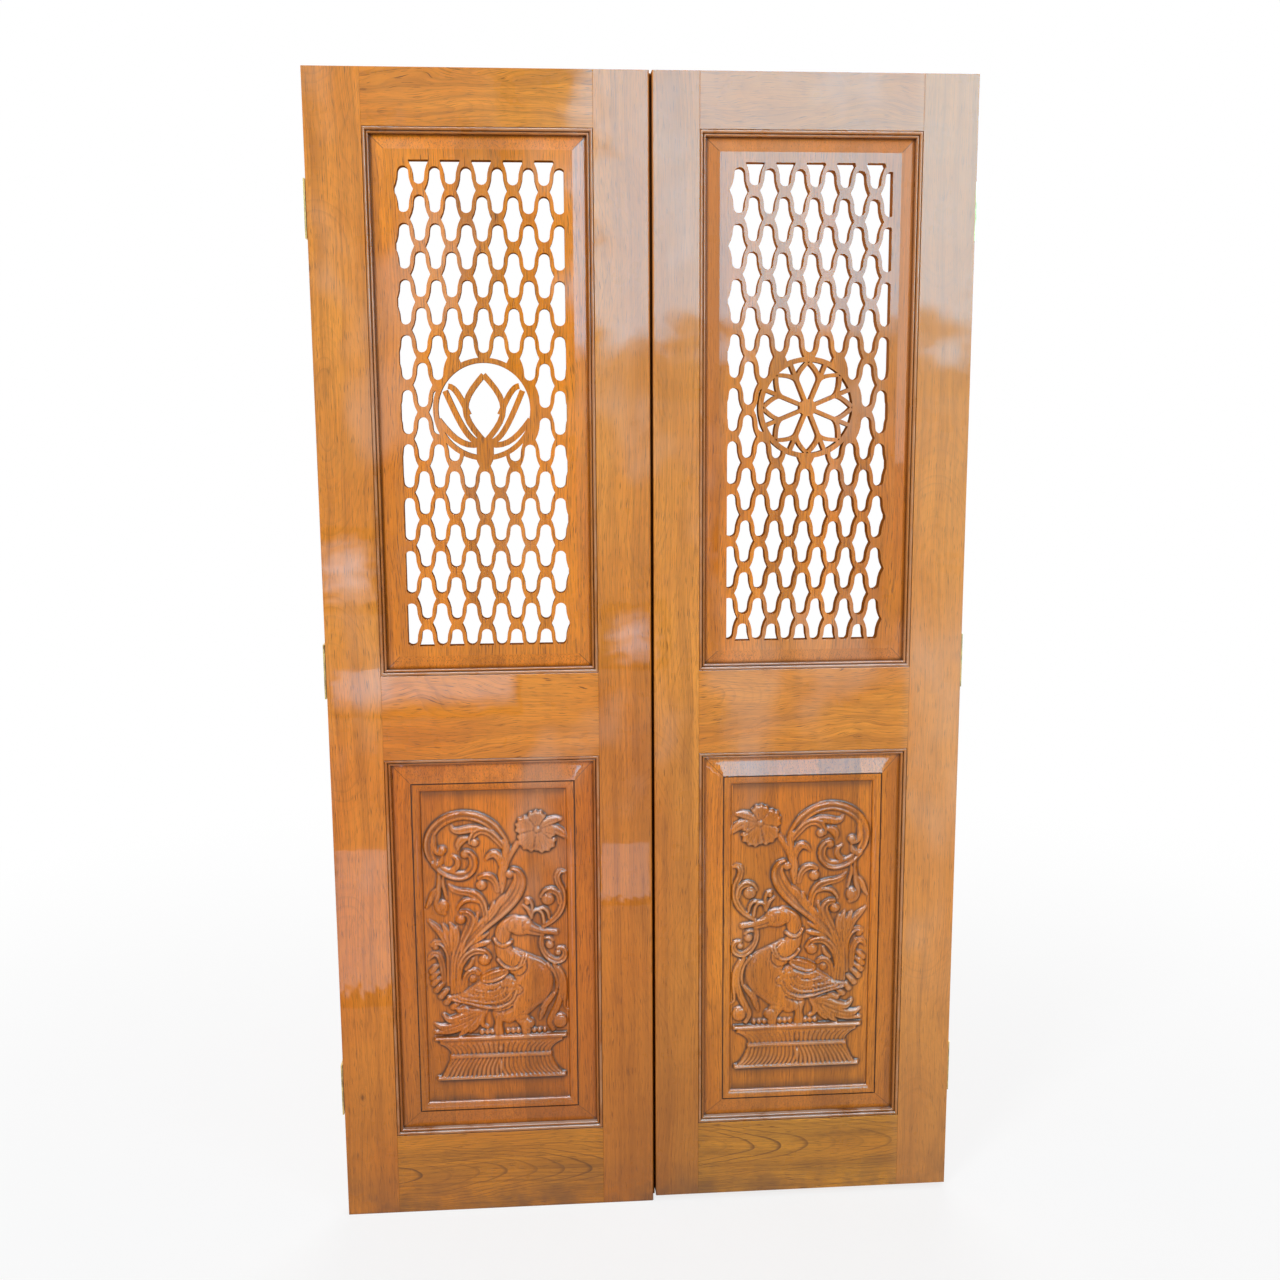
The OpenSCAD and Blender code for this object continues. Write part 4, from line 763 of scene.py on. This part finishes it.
class Relief:
    """Height of the carving over the panel's ground, on a grid of across and up in mm."""

    def __init__(self, us, vs):
        self.us = us
        self.vs = vs
        self.h = np.zeros((len(vs), len(us)))

    def window(self, q, grow):
        w = q[:, 2].max() * grow + 1
        i0, i1 = np.searchsorted(self.us, [q[:, 0].min() - w, q[:, 0].max() + w])
        j0, j1 = np.searchsorted(self.vs, [q[:, 1].min() - w, q[:, 1].max() + w])
        u, v = np.meshgrid(self.us[i0:i1], self.vs[j0:j1])
        return (slice(j0, j1), slice(i0, i1)), u, v

    def near(self, q):
        """Place on the run for each grid point by it: side share, half-width, height and length along."""
        at, u, v = self.window(q, 1.6)
        x = u.ravel()[:, None]
        y = v.ravel()[:, None]
        a = q[:-1, :2]
        e = q[1:, :2] - a
        size = np.maximum((e ** 2).sum(1), 1e-9)
        t = np.clip(((x - a[:, 0]) * e[:, 0] + (y - a[:, 1]) * e[:, 1]) / size, 0, 1)
        dx = x - a[:, 0] - t * e[:, 0]
        dy = y - a[:, 1] - t * e[:, 1]
        far = dx ** 2 + dy ** 2
        k = far.argmin(1)
        r = np.arange(len(k))
        t = t[r, k]
        side = np.sign(e[k, 0] * dy[r, k] - e[k, 1] * dx[r, k])
        wide = q[k, 2] * (1 - t) + q[k + 1, 2] * t
        high = q[k, 3] * (1 - t) + q[k + 1, 3] * t
        steps = np.sqrt(size)
        along = (np.cumsum(steps) - steps)[k] + t * steps[k]
        s = side * np.sqrt(far[r, k]) / np.maximum(wide, 0.3)
        shape = u.shape
        return at, s.reshape(shape), wide.reshape(shape), high.reshape(shape), along.reshape(shape)

    def lay(self, at, s, z, trench=0.3):
        """Lays a form over what is there, with a cut line round it."""
        old = self.h[at]
        edge = np.clip(1 - (np.abs(s) - 1) / 0.35, 0, 1) * (np.abs(s) >= 1)
        old = old * (1 - trench * edge ** 2)
        self.h[at] = np.where(np.abs(s) < 1, np.maximum(old, z), old)

    def stroke(self, kind, points, texture=None, trench=0.3):
        at, s, wide, high, along = self.near(run_through(points) * np.array([1, 1, 1.1, 1]))
        m = np.clip(np.abs(s), 0, 1)
        if kind == 0:
            z = (1 - m ** 2) ** 0.5
        elif kind == 1:
            z = np.interp(m, LEAF[0], LEAF[1])
            z = z + 0.05 * np.cos(2 * np.pi * (along / 4.5 + m * 1.3)) * (1 - m ** 2) * (m > 0.12)
        elif kind == 4:
            z = np.interp(m, TRAY[0], TRAY[1])
        else:
            z = np.interp(s if kind == 2 else -s, RIM[0], RIM[1], left=0, right=0)
            z = z + 0.07 * np.cos(3.5 * np.pi * s) * np.clip((wide - 4) / 3, 0, 1) * (m < 0.9)
        z = z * high
        if texture is not None:
            z = z + texture(s, along) * (m < 0.97)
        self.lay(at, s, z, trench)

    def boss(self, u0, v0, a, b, h):
        q = np.array([[u0, v0, max(a, b), h]])
        at, u, v = self.window(q, 1.6)
        s = np.sqrt(((u - u0) / a) ** 2 + ((v - v0) / b) ** 2)
        z = h * np.sqrt(np.clip(1 - s ** 2, 0, 1))
        self.lay(at, s, z)

    def petal(self, u0, v0, turn, half, reach):
        """Broad petal round a flower's middle, with a frilled edge, a lip and fine ribs."""
        q = np.array([[u0, v0, reach, 0]])
        at, u, v = self.window(q, 1.2)
        x = np.angle(np.exp(1j * (np.arctan2(v - v0, u - u0) - math.radians(turn)))) / math.radians(half)
        edge = reach * (1 - 0.2 * np.abs(x) ** 2.6 + 0.035 * np.cos(x * 14))
        s = np.hypot(u - u0, v - v0) / edge
        m = np.maximum(np.clip(s, 0, 1.3), np.abs(x))
        bowl = np.interp(s, PETAL[0], PETAL[1])
        z = bowl * np.clip((1 - np.abs(x)) * 9, 0, 1) ** 0.4 + 0.35 * np.cos(x * 26) * np.clip(s * 2, 0, 1)
        self.lay(at, m, z, 0.45)


def carve(us, vs):
    r = Relief(us, vs)
    for kind, points in PLUMES:
        r.stroke(kind, points)
    for u0, v0, u1, v1 in LOBES:
        r.stroke(0, [[u0, v0, 6, 6], [(u0 + u1) / 2, (v0 + v1) / 2 + 1, 5.5, 6], [u1, v1, 4, 4]], trench=0.5)
    for kind, points in SPRAYS:
        r.stroke(kind, points)
    for turn, half, reach in PETALS:
        r.petal(*FLOWER, turn, half, reach)
    for points in LEAF_PETALS:
        r.stroke(1, points)
    carve_bird(r)
    for u, v, a, b, h in BOSSES:
        r.boss(u, v, a, b, h - BOSS_SINK)
    carve_pedestal(r)
    h = r.h
    soft = h.copy()
    soft[1:-1] = 0.25 * h[:-2] + 0.5 * h[1:-1] + 0.25 * h[2:]
    h = soft.copy()
    h[:, 1:-1] = 0.25 * soft[:, :-2] + 0.5 * soft[:, 1:-1] + 0.25 * soft[:, 2:]
    return h


def carve_bird(r):
    for points in LEGS:
        r.stroke(0, points)
    r.stroke(0, BODY, lambda s, a: 0.18 * np.cos(s * 9 + a / 9))
    r.stroke(0, NECK, trench=0.45)
    r.boss(*HEAD)
    r.stroke(0, BEAK)
    r.stroke(0, BEAK_LOW)
    r.stroke(0, WING, lambda s, a: 0.4 * np.cos(s * 15) + 0.45 * np.cos(a * 1.1 + np.abs(s) * 9), 0.5)
    for points in FEATHERS:
        r.stroke(0, [q + FEATHER_SIZE for q in points], lambda s, a: 0.45 * np.cos(a * 1.3), 0.55)
    r.stroke(4, SADDLE, lambda s, a: 0.35 * np.cos(a * 1.6) * (np.abs(s) > 0.6), 0.6)
    for points in COLLARS:
        r.stroke(0, points, lambda s, a: 0.5 * np.cos(a * 1.6), 0.5)
    for u, a in TOES:
        r.boss(u, TOE_UP, a, 6, 6)
    r.boss(*FOOT_KNOB)


def carve_pedestal(r):
    u, v = np.meshgrid(r.us, r.vs)

    def slab(u0, u1, v0, v1, z):
        e = np.minimum(np.minimum(u - u0, u1 - u), np.minimum(v - v0, v1 - v))
        return np.where(e > 0, z * np.clip(e / 1.6, 0, 1) ** 0.5, 0)

    def row(height, n, v0, v1, a0, b0, a1, b1, bend):
        t = np.clip((v - v0) / (v1 - v0), 0, 1)
        left = a0 + (a1 - a0) * t ** bend
        right = b0 + (b1 - b0) * t ** bend
        x = (u - left) / (right - left)
        return np.where((v > v0) & (v < v1) & (x > 0) & (x < 1), height(n * x, t, x - 0.5), 0)

    def fluted(k, t, _):
        c = np.abs(np.cos(np.pi * k))
        return (4.2 + 3.4 * t ** 1.6) * (0.5 + 0.5 * np.minimum(1, c * (0.75 + 1.6 * t)))

    def hatched(k, t, x):
        c = np.abs(np.cos(np.pi * (k + 0.35 * np.sin(4 * t) + 0.7 * np.sign(x) * t)))
        return (8.2 - 3 * t ** 0.7) * (0.55 + 0.45 * c)

    rows = [row(fluted, *UPPER_FLUTES), row(hatched, *LOWER_FLUTES)]
    z = np.maximum.reduce([slab(*s) for s in SLABS] + rows)
    up, half_up, middle, half_wide, pitch = BEAD_ROW
    beads = (np.abs(v - up) < half_up) & (np.abs(u - middle) < half_wide)
    z = z + np.where(beads, 0.9 * np.cos(u * 2 * np.pi / pitch), 0)
    here = z > 0
    r.h[here] = np.maximum(r.h[here] * 0.6, z[here])
    for boss in PEDESTAL_BOSSES:
        r.boss(*boss)


def ground(us, vs):
    """Depth behind the leaf's face of the sloped border, the rounded frame and the field."""
    u, v = np.meshgrid(us, vs)
    m = np.minimum(HALF_WIDTH - np.abs(u), CARVED_HALF - np.abs(v))
    slope = EDGE_DEPTH - (EDGE_DEPTH - FRAME_DEPTH) * np.clip(m, 0, CARVED_SLOPE) / CARVED_SLOPE
    n = np.clip(m - CARVED_SLOPE, 0, COVE)
    cove = FRAME_DEPTH + (FIELD_DEPTH - FRAME_DEPTH) * (1 - np.sqrt(1 - (n / COVE) ** 2))
    inside = np.where((n > LINE_FROM) & (n < LINE_TO), LINE_DEPTH, cove)
    return np.where(m < CARVED_SLOPE + 0.1, slope, inside)


def lines(fine, half, edge):
    """Grid lines: fine over the carving, closer at the moulded border."""
    low, high, step = fine
    near = [edge + d for d in (3, 0, -0.35, -1.3, -2.2, -2.55, -4, -6.5, -9.5, -12, -14.5, -16, -16.7, -17.2)]
    border = [half, half - 1, half - 12, half - 24] + near
    inner = np.arange(low, high + 0.5 * step, step)
    outer = [b for b in border if b > high + 0.4] + [-b for b in border if -b < low - 0.4]
    gap_high = np.arange(high + 6, edge - COVE - 2, 7)
    gap_low = -np.arange(-low + 6, edge - COVE - 2, 7)
    return np.unique(np.concatenate([inner, outer, gap_high, gap_low]))


def blur(h, times):
    for _ in range(times):
        p = np.pad(h, 1, mode="edge")
        h = (p[:-2, 1:-1] + p[2:, 1:-1] + p[1:-1, :-2] + p[1:-1, 2:] + 4 * p[1:-1, 1:-1]) / 8
    return h


US = lines(FINE_WIDTH, HALF_WIDTH + TUCKED, INNER_WIDTH)
VS = lines(FINE_HEIGHT, CARVED_HALF + TUCKED, INNER_HEIGHT)
HEIGHT = carve(US, VS)
DEPTH = ground(US, VS)
RISE = np.minimum(DEPTH, np.where(HEIGHT > 0.02, FIELD_DEPTH - HEIGHT, DEPTH))
TOP = -RISE
INWARD = np.minimum(INNER_WIDTH - np.abs(US)[None, :], INNER_HEIGHT - np.abs(VS)[:, None])
# Painted shade, with old polish: the hollows of the carving, the cove and the sunk line round it.
HOLLOW_SHADE = np.clip((blur(TOP, 16) - TOP) / 1.1, 0, 1) * (INWARD > FIELD_FROM)
HOLLOW_SHADE = np.where(np.abs(INWARD - COVE) < 0.8, 0.7, HOLLOW_SHADE)
HOLLOW_SHADE = np.where((INWARD > LINE_FROM) & (INWARD < LINE_TO), 0.6, HOLLOW_SHADE)
# Ridges of the carving, for wear and painted glints.
CREST_GLINT = np.clip((TOP - blur(TOP, 10)) / 1.2, 0, 1) * (INWARD > FIELD_FROM)


def carved_panel(side, offset):
    """Closed mesh of a carved panel: the relief in front, a plain back, and their rims."""
    nu = len(US)
    nv = len(VS)
    u, v = np.meshgrid(US, VS)
    sign = 1 if side == "left" else -1
    front = np.stack([sign * (u * MM - PANEL_X), FACE_Y + RISE * MM, CARVED_Z + v * MM], -1).reshape(-1, 3)
    half_u = (HALF_WIDTH + TUCKED) * MM
    half_v = (CARVED_HALF + TUCKED) * MM
    corners = ((-half_u, -half_v), (half_u, -half_v), (half_u, half_v), (-half_u, half_v))
    rear = np.array([[sign * (a - PANEL_X), PANEL_BACK_Y, CARVED_Z + b] for a, b in corners])
    co = np.concatenate([front, rear])
    i = np.arange(nv * nu).reshape(nv, nu)
    quads = np.stack([i[:-1, :-1], i[:-1, 1:], i[1:, 1:], i[1:, :-1]], -1).reshape(-1, 4)
    b = nv * nu
    rims = [list(i[0, ::-1]) + [b, b + 1], list(i[::-1, -1]) + [b + 1, b + 2],
            list(i[-1, :]) + [b + 2, b + 3], list(i[:, 0]) + [b + 3, b], [b + 3, b + 2, b + 1, b]]
    faces = quads.tolist() + [[int(k) for k in f] for f in rims]
    if sign < 0:
        faces = [f[::-1] for f in faces]
    name = side + "_carved_panel_wood"
    mesh = bpy.data.meshes.new(name)
    mesh.from_pydata(co.tolist(), [], faces)
    mesh.update()
    tag_grain(mesh, 2, Vector((-sign * PANEL_X, 0, CARVED_Z)), offset)
    for key, field in (("hollow_shade", HOLLOW_SHADE), ("crest", CREST_GLINT)):
        layer = mesh.attributes.new(key, "FLOAT", "POINT")
        layer.data.foreach_set("value", np.concatenate([field.ravel(), np.zeros(4)]).astype(np.float32))
    uc = (US[1:] + US[:-1]) / 2
    vc = (VS[1:] + VS[:-1]) / 2
    past_line = np.minimum(INNER_WIDTH - np.abs(uc)[None, :], INNER_HEIGHT - np.abs(vc)[:, None]) > 3
    mesh.polygons.foreach_set("use_smooth", past_line.ravel().tolist() + [False] * len(rims))
    mesh.set_sharp_from_angle(angle=math.radians(62))
    obj = bpy.data.objects.new(name, mesh)
    finish_piece(obj, side + "_carved_panel", side + "_leaf", (CARVED,))


carved_panel("left", (0.24, 0, 131))
carved_panel("right", (1.3, 0, 151))

for name, obj in nodes_of.items():
    if "_hinge_" in name and name.split("_")[-1] in ("flap", "pin", "screws"):
        obj.data.materials.clear()
        obj.data.materials.append(BRASS)

# Floor, world, lamps, and the sky that the varnish mirrors. Lamps are place, aim, size, power and colour.
FLOOR_SIZE = 40
FLOOR_DROP = 0.0005
WHITE = rgb(1, 1, 1)
LAMPS = {
    "key": ((-3.4, -4.6, 4.4), (0, 0, 1.2), (1.5, 1.7), 145, (1, 1, 1)),
    "fill": ((3.8, -4.4, 2.4), (0, 0, 1.0), (1.8, 2.4), 45, (1, 1, 1)),
    "top": ((0.0, -1.8, 4.8), (0, 0, 1.2), (3.6, 1.2), 8, (0.93, 0.97, 1.0)),
    "back": ((0.6, 3.6, 3.2), (0, 0, 1.1), (3.0, 2.4), 90, (1, 1, 1)),
}
TO_DOOR = (0, 1, 0)
DOWN = (0, 0, -1)

# Cards are size, place, facing, colour, strength, kind of edge, and how far a ragged foot fades.
CARDS = {
    "sky_card": ((5.3, 2.7), (2.3, -5.0, 2.95), TO_DOOR, rgb(0.14, 0.66, 1.0), 14.5, "ragged", 0.1),
    "over_card": ((4.6, 2.4), (0.0, -1.0, 4.6), DOWN, rgb(0.7, 0.86, 1.0), 18.0, "plain", 0),
    "rail_card": ((0.8, 0.2), (-0.67, -3.0, 0.42), TO_DOOR, rgb(0.4, 0.7, 1.0), 8.0, "ragged", 0.5),
    "stile_card": ((0.32, 0.34), (-0.95, -3.0, 0.92), TO_DOOR, rgb(0.5, 0.75, 1.0), 11.0, "soft", 0),
    "low_stile_card": ((0.15, 0.40), (-0.64, -0.8, 0.28), TO_DOOR, rgb(0.6, 0.78, 1.0), 4.5, "ragged", 0.06),
    "low_meeting_card": ((0.14, 0.16), (0.0, -0.8, 0.40), TO_DOOR, rgb(0.6, 0.78, 1.0), 4.5, "ragged", 0.06),
    "meeting_card": ((0.28, 0.28), (0.18, -3.0, 0.64), TO_DOOR, rgb(0.5, 0.75, 1.0), 11.0, "soft", 0),
}


def plane(name, size, at, facing=None):
    bm = bmesh.new()
    bmesh.ops.create_grid(bm, x_segments=2, y_segments=2, size=0.5)
    mesh = bpy.data.meshes.new(name)
    bm.to_mesh(mesh)
    bm.free()
    obj = bpy.data.objects.new(name, mesh)
    obj.scale = (size[0], size[1], 1)
    obj.location = at
    if facing is not None:
        obj.rotation_euler = Vector(facing).to_track_quat("Z", "Y").to_euler()
    scene.collection.objects.link(obj)
    return obj


def seen(t):
    path = add(t, "ShaderNodeLightPath")
    both = calc(t, "MAXIMUM", path.outputs["Is Camera Ray"], path.outputs["Is Glossy Ray"])
    return calc(t, "MAXIMUM", both, path.outputs["Is Transmission Ray"])


def floor():
    """Pale floor that turns white away from the door and keeps its shadow."""
    obj = plane("floor", (FLOOR_SIZE, FLOOR_SIZE), (0, 0, -FLOOR_DROP))
    mat, t = new_tree("pale_floor")
    place = object_place(t)
    colour = mix(t, noise(t, place, 300.0), rgb(0.86, 0.86, 0.86), rgb(0.9, 0.9, 0.9))
    matt = add(t, "ShaderNodeBsdfDiffuse", {"Color": colour})
    white = add(t, "ShaderNodeEmission", {"Color": WHITE, "Strength": 1.0})
    far = product(t, FLOOR_SIZE, vec(t, "LENGTH", place, (0, 0, 0)))
    share = calc(t, "MULTIPLY", seen(t), span(t, far, 0.8, 3.2, 0.78, 1.0))
    put_out(t, add(t, "ShaderNodeMixShader", {0: share, 1: matt.outputs[0], 2: white.outputs[0]}))
    obj.data.materials.append(mat)


def world():
    w = bpy.data.worlds.new("studio")
    w.use_nodes = True
    t = w.node_tree
    t.nodes.clear()
    soft = add(t, "ShaderNodeBackground", {"Color": rgb(0.95, 0.97, 1.0), "Strength": 0.42})
    white = add(t, "ShaderNodeBackground", {"Color": WHITE, "Strength": 1.0})
    both = add(t, "ShaderNodeMixShader", {0: seen(t), 1: soft.outputs[0], 2: white.outputs[0]})
    out = add(t, "ShaderNodeOutputWorld")
    t.links.new(both.outputs[0], out.inputs[0])
    scene.world = w


def lamp(name, at, to, size, power, colour):
    data = bpy.data.lights.new(name, "AREA")
    data.shape = "RECTANGLE"
    data.size = size[0]
    data.size_y = size[1]
    data.energy = power
    data.color = colour
    obj = bpy.data.objects.new(name, data)
    obj.location = at
    obj.rotation_euler = (Vector(to) - Vector(at)).to_track_quat("-Z", "Y").to_euler()
    obj.visible_camera = False
    scene.collection.objects.link(obj)


def ragged_level(t, place, strength, fade):
    """Strength of a card with an uneven foot, like a line of trees, and softer sides."""
    x, y, _ = add(t, "ShaderNodeSeparateXYZ", {0: place}).outputs
    uneven = product(t, 0.4, calc(t, "SUBTRACT", noise(t, place, 9.0, 4.0), 0.5))
    low = span(t, calc(t, "ADD", y, uneven), -0.42, fade - 0.42)
    near_side = span(t, calc(t, "ADD", x, product(t, 0.4, uneven)), 0.44, 0.40)
    return product(t, strength, span(t, x, -0.5, -0.4), low, near_side)


def soft_level(t, place, strength):
    """Strength of a card that fades out in a blot with no edge."""
    blot = calc(t, "SUBTRACT", stretched(t, place, (1.6, 7, 1), 3.0, 0.55), 0.5)
    far = calc(t, "ADD", vec(t, "LENGTH", place, (0, 0, 0)), product(t, 0.8, blot))
    return product(t, strength, span(t, far, 0.48, 0.02))


def card(name, size, at, facing, colour, strength, edge, fade):
    """Pale sky for the varnish to mirror. It lights and shades nothing else, and isn't seen directly."""
    obj = plane(name, size, at, facing)
    obj.visible_camera = False
    obj.visible_diffuse = False
    obj.visible_shadow = False
    mat, t = new_tree(name)
    level = strength
    if edge == "ragged":
        level = ragged_level(t, object_place(t), strength, fade)
    if edge == "soft":
        level = soft_level(t, object_place(t), strength)
    put_out(t, add(t, "ShaderNodeEmission", {"Color": colour, "Strength": level}))
    obj.data.materials.append(mat)


floor()
world()
for name, values in LAMPS.items():
    lamp(name, *values)
for name, values in CARDS.items():
    card(name, *values)
